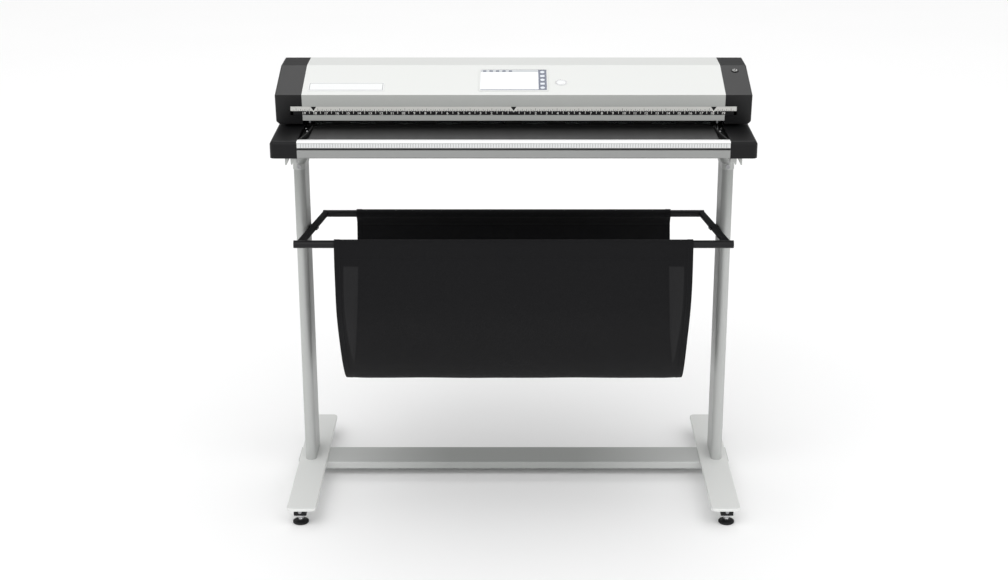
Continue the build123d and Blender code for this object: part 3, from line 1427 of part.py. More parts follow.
def make_basket_bag():
    """Cloth sling between the cross tubes, open at the top and at both ends."""
    stations = 24
    shares = [number / stations for number in range(stations + 1)]
    path = Spline(*BAG_PATH, tangents=[(0, -1), (0, 1)])

    def beside_path(share, distance):
        """Point of the cloth's face, at a distance to the left of its middle line."""
        along = path % share
        return path @ share + Vector(-along.Y, along.X) * distance

    with BuildPart() as basket_bag:
        with BuildSketch(Plane.YZ.offset(-BAG_HALF)):
            with BuildLine():
                outside = Spline(*[beside_path(t, -BAG_THICK / 2) for t in shares])
                inside = Spline(*[beside_path(t, BAG_THICK / 2) for t in shares])
                Line(outside @ 0, inside @ 0)
                Line(outside @ 1, inside @ 1)
            make_face()
            with Locations(BASKET_FRONT, BASKET_REAR):
                Circle(LOOP_OUT)
            with Locations(BASKET_FRONT, BASKET_REAR):
                Circle(LOOP_IN, mode=Mode.SUBTRACT)
        extrude(amount=2 * BAG_HALF)
    finish(basket_bag, "basket_bag")


make_cross_tube(BASKET_FRONT, BASKET_FRONT_HALF, "basket_front_tube")
make_cross_tube(BASKET_REAR, BASKET_REAR_HALF, "basket_rear_tube")
make_side_tubes()
make_basket_fittings()
make_basket_bag()
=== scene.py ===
import json
import math

import bpy
import bmesh
import numpy as np
from mathutils import Matrix, Vector

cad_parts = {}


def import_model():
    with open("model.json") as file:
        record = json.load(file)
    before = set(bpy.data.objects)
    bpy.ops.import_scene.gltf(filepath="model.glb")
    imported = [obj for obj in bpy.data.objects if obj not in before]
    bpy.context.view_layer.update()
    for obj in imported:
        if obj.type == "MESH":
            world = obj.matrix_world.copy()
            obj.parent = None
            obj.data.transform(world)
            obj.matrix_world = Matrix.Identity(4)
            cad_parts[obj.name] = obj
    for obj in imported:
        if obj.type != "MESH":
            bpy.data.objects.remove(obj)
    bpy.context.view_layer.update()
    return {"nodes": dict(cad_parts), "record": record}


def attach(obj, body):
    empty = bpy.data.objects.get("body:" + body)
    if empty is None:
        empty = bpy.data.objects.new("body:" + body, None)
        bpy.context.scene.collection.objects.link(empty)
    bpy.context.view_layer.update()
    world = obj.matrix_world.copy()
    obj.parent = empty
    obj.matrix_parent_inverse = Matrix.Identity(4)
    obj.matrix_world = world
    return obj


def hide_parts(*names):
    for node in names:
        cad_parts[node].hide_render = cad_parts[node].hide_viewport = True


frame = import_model()
NODES = frame["nodes"]
BASE_BODY, LID_BODY = "frame", "lid"
MM = 0.001
LEG_PLANE_Y = 0.032          # the legs' middle plane in the imported frame

# Tapering pleat near each side of the basket's front, in millimetres on the cloth:
# its middle at the top and how far it drifts outwards, half its width at the top, and
# its two ends down from the front tube. The pleat is shaped in the cloth, and its
# paler tone is a painted highlight.
PLEAT_X, PLEAT_DRIFT, PLEAT_HALF = 371.0, 9.0, 18.0
PLEAT_TOP, PLEAT_POINT = 49.0, 348.0
PLEAT_BLUR = 0.0025          # the pleat's painted highlight fades in over this far, in metres
PLEAT_TOP_BLUR = 0.002

# Where materials change along the object, in metres from low to high.
RAIL_HIGHLIGHT_Z = (0.9149, 0.9154)       # grey face to the painted highlight on the top edge
LEG_PAINTED_SHADE_Z = (0.58, 0.80)           # pale to darker up the legs, painted shade under the scanner
BAR_PAINTED_SHADE_X = (0.16, 0.44)           # painted shade: dark middle under the basket to paler ends of the crossbar
TABLE_SHADE_Y = (-0.10, -0.20)      # painted shade: black under the head to paler, towards the feed table's front

THREAD_PITCH = 0.0012        # two threads of the cloth's weave, in metres
GRAIN_DEPTH = 0.0002         # height of the bumps in a solid finish, in metres
CLOTH_BUMP_DEPTH = 0.0004
GLOSS_SPREAD = 0.06          # a finish's roughness varies this much either way
COAT_ROUGHNESS = 0.15
MIDTONES = (0.3, 0.7)        # the part of a noise's range that most of it lies in


# ---- node helpers --------------------------------------------------------------

def new_material(name, coordinates="Object"):
    """A material with its node tree, its Principled shader and texture coordinates."""
    mat = bpy.data.materials.new(name)
    mat.use_nodes = True
    tree = mat.node_tree
    shader = tree.nodes["Principled BSDF"]
    coords = tree.nodes.new("ShaderNodeTexCoord")
    return mat, tree, shader, coords.outputs[coordinates]


def stretched(tree, vector, scale):
    """The vector scaled on each axis, so that a noise read with it is drawn out."""
    node = tree.nodes.new("ShaderNodeMapping")
    node.inputs["Scale"].default_value = scale
    tree.links.new(vector, node.inputs["Vector"])
    return node.outputs["Vector"]


def axes(tree, vector):
    """Outputs X, Y and Z of a vector."""
    node = tree.nodes.new("ShaderNodeSeparateXYZ")
    tree.links.new(vector, node.inputs["Vector"])
    return node.outputs


def noise(tree, vector, scale, detail=3.0, roughness=0.5):
    """Soft noise from 0 to 1 at the vector."""
    node = tree.nodes.new("ShaderNodeTexNoise")
    node.inputs["Scale"].default_value = scale
    node.inputs["Detail"].default_value = detail
    node.inputs["Roughness"].default_value = roughness
    tree.links.new(vector, node.inputs["Vector"])
    return node.outputs["Fac"]


def remap(tree, value, low, high, to_low, to_high):
    """Straight line from one range to another, held at both ends."""
    node = tree.nodes.new("ShaderNodeMapRange")
    node.inputs["From Min"].default_value = low
    node.inputs["From Max"].default_value = high
    node.inputs["To Min"].default_value = to_low
    node.inputs["To Max"].default_value = to_high
    tree.links.new(value, node.inputs["Value"])
    return node.outputs["Result"]


def maths(tree, operation, first, second):
    """Math node; each input is a number or another node's output."""
    node = tree.nodes.new("ShaderNodeMath")
    node.operation = operation
    for socket, value in zip(node.inputs, (first, second)):
        if isinstance(value, (int, float)):
            socket.default_value = value
        else:
            tree.links.new(value, socket)
    return node.outputs["Value"]


def mix_colours(tree, factor, first, second):
    """Colour between two colours; either may be a triple or another node's output."""
    node = tree.nodes.new("ShaderNodeMix")
    node.data_type = "RGBA"
    tree.links.new(factor, node.inputs["Factor"])
    sockets = [s for s in node.inputs if s.type == "RGBA"]
    for socket, colour in zip(sockets, (first, second)):
        if isinstance(colour, tuple):
            socket.default_value = (*colour, 1.0)
        else:
            tree.links.new(colour, socket)
    return [s for s in node.outputs if s.type == "RGBA"][0]


def add_bump(tree, shader, heights, distance):
    """Chains bumps; heights is a list of (height socket, strength)."""
    normal = None
    for height, strength in heights:
        node = tree.nodes.new("ShaderNodeBump")
        node.inputs["Strength"].default_value = strength
        node.inputs["Distance"].default_value = distance
        tree.links.new(height, node.inputs["Height"])
        if normal is not None:
            tree.links.new(normal, node.inputs["Normal"])
        normal = node.outputs["Normal"]
    tree.links.new(normal, shader.inputs["Normal"])


def shade(colour, factor):
    """The colour made lighter or darker."""
    return tuple(min(1.0, c * factor) for c in colour)


def finish_material(name, colour, rough, metallic=0.0, spread=0.06, grain=900.0,
                    stretch=(1, 1, 1), bump=0.1, coat=0.0, specular=0.5, cloudy=6.0):
    """A solid finish: fine grain in height and gloss, and a slow drift of tone."""
    mat, tree, shader, obj = new_material(name)
    grain_vector = stretched(tree, obj, stretch)
    fine = noise(tree, grain_vector, grain, 4.0, 0.6)
    slow = noise(tree, obj, cloudy, 3.0)
    drift = mix_colours(tree, slow, shade(colour, 1 - spread), shade(colour, 1 + spread))
    speck = remap(tree, fine, *MIDTONES, 0.0, 0.5)
    tone = mix_colours(tree, speck, drift, shade(colour, 1 - 2 * spread))
    tree.links.new(tone, shader.inputs["Base Color"])
    gloss = remap(tree, fine, *MIDTONES, rough - GLOSS_SPREAD, rough + GLOSS_SPREAD)
    tree.links.new(gloss, shader.inputs["Roughness"])
    shader.inputs["Metallic"].default_value = metallic
    shader.inputs["Specular IOR Level"].default_value = specular
    if coat:
        shader.inputs["Coat Weight"].default_value = coat
        shader.inputs["Coat Roughness"].default_value = COAT_ROUGHNESS
    add_bump(tree, shader, [(fine, bump)], GRAIN_DEPTH)
    return mat


def glass_material():
    """Pale green-edged glass with faint smears in its gloss."""
    mat, tree, shader, obj = new_material("scan_glass_clear")
    smear = noise(tree, obj, 14.0, 5.0)
    tint = mix_colours(tree, smear, (0.80, 0.90, 0.87), (0.88, 0.94, 0.92))
    tree.links.new(tint, shader.inputs["Base Color"])
    tree.links.new(remap(tree, smear, *MIDTONES, 0.02, 0.08), shader.inputs["Roughness"])
    shader.inputs["Transmission Weight"].default_value = 0.9
    shader.inputs["IOR"].default_value = 1.5
    return mat


def pleat_mask(tree, u, v):
    """One inside the two tapering pleats of the cloth, where the highlight is painted, zero
    outside.
    """
    down = remap(tree, v, PLEAT_TOP * MM, PLEAT_POINT * MM, 0.0, 1.0)
    narrowing = maths(tree, "SUBTRACT", 1.0, maths(tree, "MULTIPLY", down, down))
    half = maths(tree, "MULTIPLY", narrowing, PLEAT_HALF * MM)
    drift = maths(tree, "MULTIPLY", down, PLEAT_DRIFT * MM)
    outwards = maths(tree, "SUBTRACT", maths(tree, "ABSOLUTE", u, 0.0), PLEAT_X * MM)
    from_middle = maths(tree, "ABSOLUTE", maths(tree, "SUBTRACT", outwards, drift), 0.0)
    inside = remap(tree, maths(tree, "SUBTRACT", half, from_middle), 0.0, PLEAT_BLUR, 0.0, 1.0)
    below_top = remap(tree, v, PLEAT_TOP * MM - PLEAT_TOP_BLUR, PLEAT_TOP * MM, 0.0, 1.0)
    return maths(tree, "MULTIPLY", inside, below_top)


def cloth_material():
    """Black plain-weave polyester: crossing threads, slubs, a little lint, and pleats painted paler
    as a highlight.
    """
    mat, tree, shader, uv = new_material("cloth_black_weave", "UV")
    split = axes(tree, uv)
    turns = 2 * math.pi / THREAD_PITCH
    across = maths(tree, "SINE", maths(tree, "MULTIPLY", split["X"], turns), 0.0)
    along = maths(tree, "SINE", maths(tree, "MULTIPLY", split["Y"], turns), 0.0)
    weave = maths(tree, "MULTIPLY", across, along)
    slub = noise(tree, stretched(tree, uv, (1.0, 0.12, 1.0)), 700.0, 3.0, 0.6)
    creases = noise(tree, stretched(tree, uv, (1.0, 0.45, 1.0)), 9.0, 4.0, 0.55)
    height = remap(tree, weave, -1.0, 1.0, 0.0, 1.0)
    tone = mix_colours(tree, height, (0.0048, 0.0048, 0.0054), (0.0100, 0.0100, 0.0110))
    lint = mix_colours(tree, remap(tree, slub, 0.55, 0.85, 0.0, 0.6), tone, (0.016, 0.016, 0.017))
    # Painted highlight: the pleats are made paler than the rest of the cloth.
    pleats = maths(tree, "MULTIPLY", pleat_mask(tree, split["X"], split["Y"]), 0.85)
    paler = mix_colours(tree, pleats, lint, (0.0185, 0.0185, 0.0195))
    tree.links.new(paler, shader.inputs["Base Color"])
    tree.links.new(remap(tree, slub, *MIDTONES, 0.80, 0.94), shader.inputs["Roughness"])
    shader.inputs["Specular IOR Level"].default_value = 0.12
    shader.inputs["Sheen Weight"].default_value = 0.03
    shader.inputs["Sheen Roughness"].default_value = 0.5
    add_bump(tree, shader, [(weave, 0.5), (slub, 0.3), (creases, 0.9)], CLOTH_BUMP_DEPTH)
    return mat


def feed_table_material():
    """Black lacquer with painted shade: black at the rear under the head, paler in streaks towards
    the plate's front edge.
    """
    mat, tree, shader, obj = new_material("feed_table_black")
    streaks = noise(tree, stretched(tree, obj, (1.0, 0.05, 1.0)), 60.0, 4.0, 0.6)
    fine = noise(tree, obj, 1500.0, 3.0)
    # Painted shade: the plate is black where the head shades it and paler towards its front edge.
    out_of_shade = remap(tree, axes(tree, obj)["Y"], *TABLE_SHADE_Y, 0.0, 0.85)
    amount = maths(tree, "MULTIPLY", out_of_shade, remap(tree, streaks, *MIDTONES, 0.8, 1.1))
    tone = mix_colours(tree, amount, (0.006, 0.006, 0.006), (0.060, 0.060, 0.061))
    tree.links.new(tone, shader.inputs["Base Color"])
    tree.links.new(remap(tree, fine, *MIDTONES, 0.42, 0.52), shader.inputs["Roughness"])
    shader.inputs["Specular IOR Level"].default_value = 0.25
    add_bump(tree, shader, [(fine, 0.15)], GRAIN_DEPTH)
    return mat


def rail_material():
    """Brushed aluminium, grey on the face, with a painted highlight on the top edge."""
    mat, tree, shader, obj = new_material("rail_aluminium")
    fine = noise(tree, stretched(tree, obj, (0.02, 1.0, 1.0)), 1600.0, 4.0, 0.6)
    # Painted highlight: the top edge is made near white and less metallic than the face.
    top = remap(tree, axes(tree, obj)["Z"], *RAIL_HIGHLIGHT_Z, 0.0, 1.0)
    face = mix_colours(tree, fine, (0.27, 0.275, 0.27), (0.31, 0.315, 0.31))
    edge = mix_colours(tree, fine, (0.84, 0.85, 0.85), (0.90, 0.90, 0.90))
    tree.links.new(mix_colours(tree, top, face, edge), shader.inputs["Base Color"])
    tree.links.new(remap(tree, top, 0.0, 1.0, 0.6, 0.05), shader.inputs["Metallic"])
    tree.links.new(remap(tree, fine, *MIDTONES, 0.32, 0.42), shader.inputs["Roughness"])
    add_bump(tree, shader, [(fine, 0.1)], GRAIN_DEPTH)
    return mat


def leg_material():
    """Brushed aluminium down the legs, with painted shade making it darker towards the top, under
    the scanner.
    """
    mat, tree, shader, obj = new_material("leg_aluminium")
    fine = noise(tree, stretched(tree, obj, (1.0, 1.0, 0.02)), 1600.0, 4.0, 0.6)
    # Painted shade: darker towards the top of the legs, under the scanner.
    upwards = remap(tree, axes(tree, obj)["Z"], *LEG_PAINTED_SHADE_Z, 0.0, 1.0)
    low = mix_colours(tree, fine, (0.46, 0.47, 0.46), (0.49, 0.50, 0.49))
    high = mix_colours(tree, fine, (0.31, 0.32, 0.31), (0.33, 0.34, 0.33))
    tree.links.new(mix_colours(tree, upwards, low, high), shader.inputs["Base Color"])
    tree.links.new(remap(tree, fine, *MIDTONES, 0.45, 0.55), shader.inputs["Roughness"])
    shader.inputs["Metallic"].default_value = 0.4
    add_bump(tree, shader, [(fine, 0.1)], GRAIN_DEPTH)
    return mat


def crossbar_material():
    """Grey paint on the crossbar with painted shade: darker in the middle under the basket, paler
    towards its ends.
    """
    mat, tree, shader, obj = new_material("grey_bar_long")
    fine = noise(tree, obj, 700.0, 4.0, 0.6)
    # Painted shade: the middle, under the basket, is darker than the ends.
    from_middle = maths(tree, "ABSOLUTE", axes(tree, obj)["X"], 0.0)
    to_end = remap(tree, from_middle, *BAR_PAINTED_SHADE_X, 0.0, 1.0)
    middle = mix_colours(tree, fine, (0.31, 0.32, 0.31), (0.34, 0.35, 0.34))
    end = mix_colours(tree, fine, (0.50, 0.51, 0.50), (0.54, 0.55, 0.54))
    tree.links.new(mix_colours(tree, to_end, middle, end), shader.inputs["Base Color"])
    tree.links.new(remap(tree, fine, *MIDTONES, 0.40, 0.50), shader.inputs["Roughness"])
    shader.inputs["Specular IOR Level"].default_value = 0.4
    add_bump(tree, shader, [(fine, 0.1)], GRAIN_DEPTH)
    return mat


BRUSHED_UP = dict(stretch=(1, 1, 0.02), grain=1600)
BRUSHED_ALONG = dict(stretch=(0.02, 1, 1), grain=1600)
MATS = {
    "silver_aluminium": finish_material(
        "silver_aluminium", (0.43, 0.44, 0.43), 0.50, metallic=0.40, spread=0.025, **BRUSHED_UP),
    "rail_aluminium": rail_material(),
    "screw_steel": finish_material(
        "screw_steel", (0.34, 0.34, 0.35), 0.36, metallic=0.9, spread=0.05, grain=1200),
    "pale_steel": finish_material(
        "pale_steel", (0.71, 0.72, 0.705), 0.45, spread=0.02, grain=700, specular=0.4),
    "grey_bar": finish_material(
        "grey_bar", (0.34, 0.35, 0.34), 0.45, spread=0.025, grain=700, specular=0.4),
    "bright_steel": finish_material(
        "bright_steel", (0.70, 0.70, 0.71), 0.18, metallic=1.0, spread=0.04, grain=1200),
    "black_plastic": finish_material(
        "black_plastic", (0.007, 0.007, 0.008), 0.48, grain=1500, bump=0.2, specular=0.25),
    "cap_plastic": finish_material(
        "cap_plastic", (0.005, 0.005, 0.0055), 0.37, grain=1800, bump=0.2, specular=0.34),
    "deck_plastic": finish_material(
        "deck_plastic", (0.005, 0.005, 0.0055), 0.42, grain=1800, bump=0.2, specular=0.20),
    "white_paint": finish_material(
        "white_paint", (0.69, 0.70, 0.685), 0.42, spread=0.01, grain=500, bump=0.05, specular=0.15),
    "grey_paint": finish_material(
        "grey_paint", (0.425, 0.435, 0.42), 0.45, spread=0.02, grain=1200, specular=0.35),
    "black_metal": finish_material(
        "black_metal", (0.007, 0.007, 0.007), 0.42, grain=1400, bump=0.15, specular=0.25),
    "zinc_steel": finish_material(
        "zinc_steel", (0.42, 0.43, 0.44), 0.38, metallic=0.85, spread=0.12, cloudy=60),
    "scale_white": finish_material("scale_white", (0.65, 0.66, 0.66), 0.32, spread=0.03),
    "guide_grey": finish_material("guide_grey", (0.022, 0.022, 0.022), 0.5, specular=0.25),
    "roller_rubber": finish_material(
        "roller_rubber", (0.014, 0.014, 0.014), 0.75, grain=2200, bump=0.3, specular=0.2),
    "brass": finish_material("brass", (0.62, 0.44, 0.18), 0.28, metallic=1.0),
    "board_green": finish_material("board_green", (0.02, 0.16, 0.06), 0.40, spread=0.15, cloudy=80),
    "ruler_metal": finish_material(
        "ruler_metal", (0.70, 0.70, 0.67), 0.40, metallic=0.1, spread=0.02, **BRUSHED_ALONG),
    "white_foam": finish_material("white_foam", (0.82, 0.82, 0.80), 0.60, spread=0.02),
    "tube_black": finish_material(
        "tube_black", (0.008, 0.008, 0.009), 0.34, grain=1600, bump=0.12, specular=0.22),
    "tube_matt": finish_material(
        "tube_matt", (0.005, 0.005, 0.006), 0.62, grain=1600, bump=0.15, specular=0.04),
    "badge_silver": finish_material(
        "badge_silver", (0.74, 0.75, 0.75), 0.30, spread=0.02, specular=0.4),
    "screen": finish_material(
        "screen", (0.80, 0.82, 0.84), 0.16, spread=0.01, grain=2600, bump=0.02, coat=0.5),
    "glass": glass_material(),
    "cloth_black": cloth_material(),
}
INK_BLACK = finish_material("ink_black", (0.012, 0.012, 0.012), 0.5, specular=0.2)
INK_WHITE = finish_material("ink_white", (0.72, 0.72, 0.70), 0.5, spread=0.03, specular=0.3)
# Grey print on the plate border, and painted shade between the rail scale's ribs.
GREY_INK_AND_SHADE = finish_material("grey_ink_and_shade", (0.30, 0.31, 0.31), 0.5, spread=0.03, specular=0.3)
SCREEN_GREY = finish_material("screen_grey", (0.42, 0.44, 0.46), 0.2, spread=0.02, coat=0.5)
SCREEN_NAVY = finish_material("screen_navy", (0.012, 0.028, 0.085), 0.2, spread=0.05, coat=0.5)
SCREEN_LINE = finish_material("screen_line", (0.58, 0.62, 0.67), 0.2, spread=0.02, coat=0.5)
THREAD = finish_material(
    "thread_black", (0.016, 0.016, 0.018), 0.7, grain=4000, bump=0.4, specular=0.2)


def set_material(obj, mat):
    """Makes this the object's only material."""
    obj.data.materials.clear()
    obj.data.materials.append(mat)


# Each CAD node takes its slot's material, and some take one of their own after that.
SLOT_OF = {s["node"]: s["material_slot"] for s in frame["record"]["subparts"]}
for node_name, node in NODES.items():
    set_material(node, MATS[SLOT_OF[node_name]])
set_material(NODES["front_rail"], MATS["rail_aluminium"])
set_material(NODES["base_chassis"], MATS["black_metal"])
set_material(NODES["stand_bolts"], MATS["screw_steel"])
set_material(NODES["feed_table"], feed_table_material())
set_material(NODES["crossbar"], crossbar_material())
set_material(NODES["basket_side_tubes"], MATS["tube_matt"])
for side in ("left", "right"):
    set_material(NODES[f"base_cap_{side}"], MATS["deck_plastic"])
    set_material(NODES[f"leg_{side}"], leg_material())


# ---- mesh helpers --------------------------------------------------------------

class Face:
    """A plane to build on: origin, right and up; its normal points out of the object."""

    def __init__(self, origin, right, up):
        self.origin = Vector(origin)
        self.right = Vector(right).normalized()
        self.up = Vector(up).normalized()
        self.normal = self.right.cross(self.up)

    def at(self, u, v, out=0.0):
        """Point at u to the right, v up and out of the plane, all in millimetres."""
        return self.origin + (self.right * u + self.up * v + self.normal * out) * MM

    def matrix(self, u, v, out=0.0):
        """Placing of a flat shape drawn in XY, with its origin at that point."""
        turn = Matrix((self.right, self.up, self.normal)).transposed().to_4x4()
        return Matrix.Translation(self.at(u, v, out)) @ turn


def add_prism(bm, face, outline, low, high, index=0):
    """Straight-sided plate on a face, from its outline in millimetres."""
    lower = [bm.verts.new(face.at(u, v, low)) for u, v in outline]
    upper = [bm.verts.new(face.at(u, v, high)) for u, v in outline]
    count = len(outline)
    made = [bm.faces.new(upper), bm.faces.new(lower[::-1])]
    for i in range(count):
        j = (i + 1) % count
        made.append(bm.faces.new((lower[i], lower[j], upper[j], upper[i])))
    for one in made:
        one.material_index = index


def rectangle(u, v, width, height):
    """Outline of a rectangle around its middle."""
    a, b = width / 2, height / 2
    return [(u - a, v - b), (u + a, v - b), (u + a, v + b), (u - a, v + b)]


def rounded(u, v, width, height, radius, steps=5):
    """Outline of a rectangle with round corners."""
    points = []
    for corner, (x, y) in enumerate(((1, 1), (-1, 1), (-1, -1), (1, -1))):
        for step in range(steps + 1):
            angle = math.pi / 2 * (corner + step / steps)
            points.append((
                u + x * (width / 2 - radius) + radius * math.cos(angle),
                v + y * (height / 2 - radius) + radius * math.sin(angle),
            ))
    return points


def disc(u, v, radius, steps=24):
    """Outline of a circle, or of a regular shape with few sides."""
    turns = [2 * math.pi * i / steps for i in range(steps)]
    return [(u + radius * math.cos(a), v + radius * math.sin(a)) for a in turns]


def add_frame(bm, face, u, v, width, height, line, low, high, index=0):
    """Four strips around a rectangle, butted at the corners: two long, two short."""
    for way in (-1, 1):
        lying = rectangle(u, v + way * (height - line) / 2, width, line)
        standing = rectangle(u + way * (width - line) / 2, v, line, height - 2 * line)
        add_prism(bm, face, lying, low, high, index)
        add_prism(bm, face, standing, low, high, index)


def add_lathe(bm, face, u, v, profile, steps=20, index=0):
    """Turned shape on a face; profile is (radius, height) from the rim to the middle."""
    rings = []
    for radius, height in profile:
        rings.append([
            bm.verts.new(face.at(
                u + radius * math.cos(2 * math.pi * i / steps),
                v + radius * math.sin(2 * math.pi * i / steps), height))
            for i in range(steps)
        ])
    for lower, upper in zip(rings, rings[1:]):
        for i in range(steps):
            j = (i + 1) % steps
            one = bm.faces.new((lower[i], lower[j], upper[j], upper[i]))
            one.material_index = index
            one.smooth = True
    bm.faces.new(rings[-1]).material_index = index
    bm.faces.new(rings[0][::-1]).material_index = index


def add_screw_head(bm, face, u, v, radius):
    """Domed screw head with a round recess."""
    height = radius * 0.55
    profile = (
        (radius, -0.3), (radius, height * 0.35), (radius * 0.86, height * 0.8),
        (radius * 0.6, height), (radius * 0.45, height), (radius * 0.40, height * 0.35),
    )
    add_lathe(bm, face, u, v, profile)


FIGURE_SHARE = 0.7           # a figure's height as a share of its font size
FIGURE_DEPTH, FIGURE_BOLDER = 0.06, 0.22


def add_figure(bm, face, u, v, text, height):
    """Printed figure centred on a point of a face."""
    curve = bpy.data.curves.new("figure", "FONT")
    curve.body = text
    curve.size = height / FIGURE_SHARE * MM
    curve.align_x = "CENTER"
    curve.extrude = FIGURE_DEPTH * MM
    curve.offset = FIGURE_BOLDER * MM
    curve.resolution_u = 3
    holder = bpy.data.objects.new("figure", curve)
    mesh = bpy.data.meshes.new_from_object(holder)
    mesh.transform(face.matrix(u, v - height / 2, FIGURE_DEPTH))
    bm.from_mesh(mesh)
    bpy.data.meshes.remove(mesh)
    bpy.data.objects.remove(holder)
    bpy.data.curves.remove(curve)


def make_piece(name, bm, body, slot, *mats):
    """Turn a bmesh into a piece that rides on a body."""
    bmesh.ops.recalc_face_normals(bm, faces=bm.faces[:])
    mesh = bpy.data.meshes.new(name)
    for mat in mats:
        mesh.materials.append(mat)
    bm.to_mesh(mesh)
    bm.free()
    piece = bpy.data.objects.new(name, mesh)
    bpy.context.scene.collection.objects.link(piece)
    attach(piece, body)
    return piece


# Faces of the scanner that details lie on, with the same sizes as the CAD.
FRONT_LOW_Z, FRONT_RUN, FRONT_RISE = 934.0, 8, 62     # the lid's front leans forwards
LID_FRONT = Face((0, -0.087, FRONT_LOW_Z * MM), (1, 0, 0), (0, -FRONT_RUN, FRONT_RISE))
LID_SLOPE = Face((0, -0.095, 0.996), (1, 0, 0), (0, 137, 40))
RAIL_FRONT = Face((0, -0.223, 0.880), (1, 0, 0), (0, 0, 1))
DECK = Face((0, LEG_PLANE_Y, 0.911), (1, 0, 0), (0, 1, 0))
REAR_COVER = Face((0, 0.285, 0.0), (-1, 0, 0), (0, 0, 1))
SOCKET_FACE = Face((0, 0.2805, 0.878), (-1, 0, 0), (0, 0, 1))
FRONT_LEAN = math.hypot(FRONT_RUN, FRONT_RISE) / FRONT_RISE
PRINT_LOW, PRINT_HIGH = -0.1, 0.08       # printed marks, from just inside a face to just above


def on_front(z):
    """Distance up the leaning front at a height, in millimetres."""
    return (z - FRONT_LOW_Z) * FRONT_LEAN


# ---- scales on the lid's front -------------------------------------------------

RULER_SINK, BAND_SINK = -1.0, -2.0       # the strips lie this far behind the front
INCH = 25.4
MARKER_XS = (-460.0, 0, 460.0)           # arrows at the sheet's edges and middle
MARK_STEP, MARK_COUNT = 5.0, 101         # marks every 5 mm, this many each side of the middle
MARKS_CLEAR = 9                          # no mark as close as this to an arrow


def make_ruler_marks():
    """Dark marks every 5 mm on the ruler strip, longer at 1 and 5 cm, and three arrows."""
    bm = bmesh.new()
    face = Face(LID_FRONT.at(0, 0, RULER_SINK), LID_FRONT.right, LID_FRONT.up)
    for number in range(-MARK_COUNT, MARK_COUNT + 1):
        x = number * MARK_STEP
        if min(abs(x - marker) for marker in MARKER_XS) < MARKS_CLEAR:
            continue
        length = 5.5 if number % 10 == 0 else (4.0 if number % 2 == 0 else 2.2)
        mark = rectangle(x, on_front(957.6) + length / 2, 0.7, length)
        add_prism(bm, face, mark, PRINT_LOW, PRINT_HIGH)
    low, high = on_front(957.4), on_front(967.2)
    for x in MARKER_XS:
        add_prism(bm, face, [(x - 6.5, high), (x, low), (x + 6.5, high)], -0.1, 0.15)
    make_piece("ruler_marks", bm, LID_BODY, "ruler_metal", INK_BLACK)


def make_band_marks():
    """Light inch figures, marks and small arrows on the black band, counted from the middle."""
    bm = bmesh.new()
    face = Face(LID_FRONT.at(0, 0, BAND_SINK), LID_FRONT.right, LID_FRONT.up)
    for side in (-1, 1):
        for inch in range(1, 20):
            x = side * inch * INCH
            add_figure(bm, face, x, on_front(951.4), str(inch), 6.2)
            between = x - side * INCH / 2
            long_mark = rectangle(between, on_front(953.4), 1.3, 7.0)
            add_prism(bm, face, long_mark, PRINT_LOW, PRINT_HIGH)
            for quarter in (-1, 1):
                mark = rectangle(between + quarter * INCH / 4, on_front(955.8), 1.0, 2.2)
                add_prism(bm, face, mark, PRINT_LOW, PRINT_HIGH)
    high = on_front(956.6)
    for x in MARKER_XS:
        add_prism(bm, face, [(x - 3.2, high), (x, high - 3.4), (x + 3.2, high)], -0.1, 0.14)
    make_piece("band_marks", bm, LID_BODY, "black_plastic", INK_WHITE)


# ---- touchscreen, plate, badge and button --------------------------------------

def make_screen_picture():
    """Generic screen layout without any lettering."""
    bm = bmesh.new()
    face = Face(LID_SLOPE.at(0, 69, 1.0), LID_SLOPE.right, LID_SLOPE.up)
    wide, high = 153.0, 97.0
    low, top = -0.05, 0.06
    icon_top = top + 0.05
    column = 19.0                # width of the dark column of icons
    add_prism(bm, face, rectangle(-column / 2, high / 2 - 6, wide - column, 12), low, top, 0)
    add_prism(bm, face, rectangle((wide - column) / 2, 0, column, high), low, top, 1)
    add_prism(bm, face, rectangle(-column / 2, -high / 2 + 2, wide - column, 4), low, top, 1)
    # Buttons of the tool bar.
    for number in range(5):
        u = -wide / 2 + 9 + 15 * number
        add_prism(bm, face, rounded(u, high / 2 - 6, 8, 7, 1.2), top, icon_top, 1)
    # Icons of the dark column.
    for number in range(5):
        v = high / 2 - 11 - 18.5 * number
        u = (wide - column) / 2
        if number % 2 == 0:
            add_prism(bm, face, disc(u, v, 5.2), top, icon_top, 2)
        else:
            add_prism(bm, face, rounded(u, v, 10, 9, 1.5), top, icon_top, 2)
    # Preview frame with a drawing's outline, and a list beside it.
    add_frame(bm, face, -38, -4, 66, 68, 0.9, low, top, 2)
    add_frame(bm, face, -38, -4, 46, 32, 0.7, low, top, 0)
    for number in range(7):
        shorter = number % 3
        row = rectangle(28 - shorter * 2, 26 - 9.5 * number, 46 - shorter * 4, 2.4)
        add_prism(bm, face, row, low, top, 2)
    make_piece("screen_picture", bm, LID_BODY, "screen", SCREEN_GREY, SCREEN_NAVY, SCREEN_LINE)


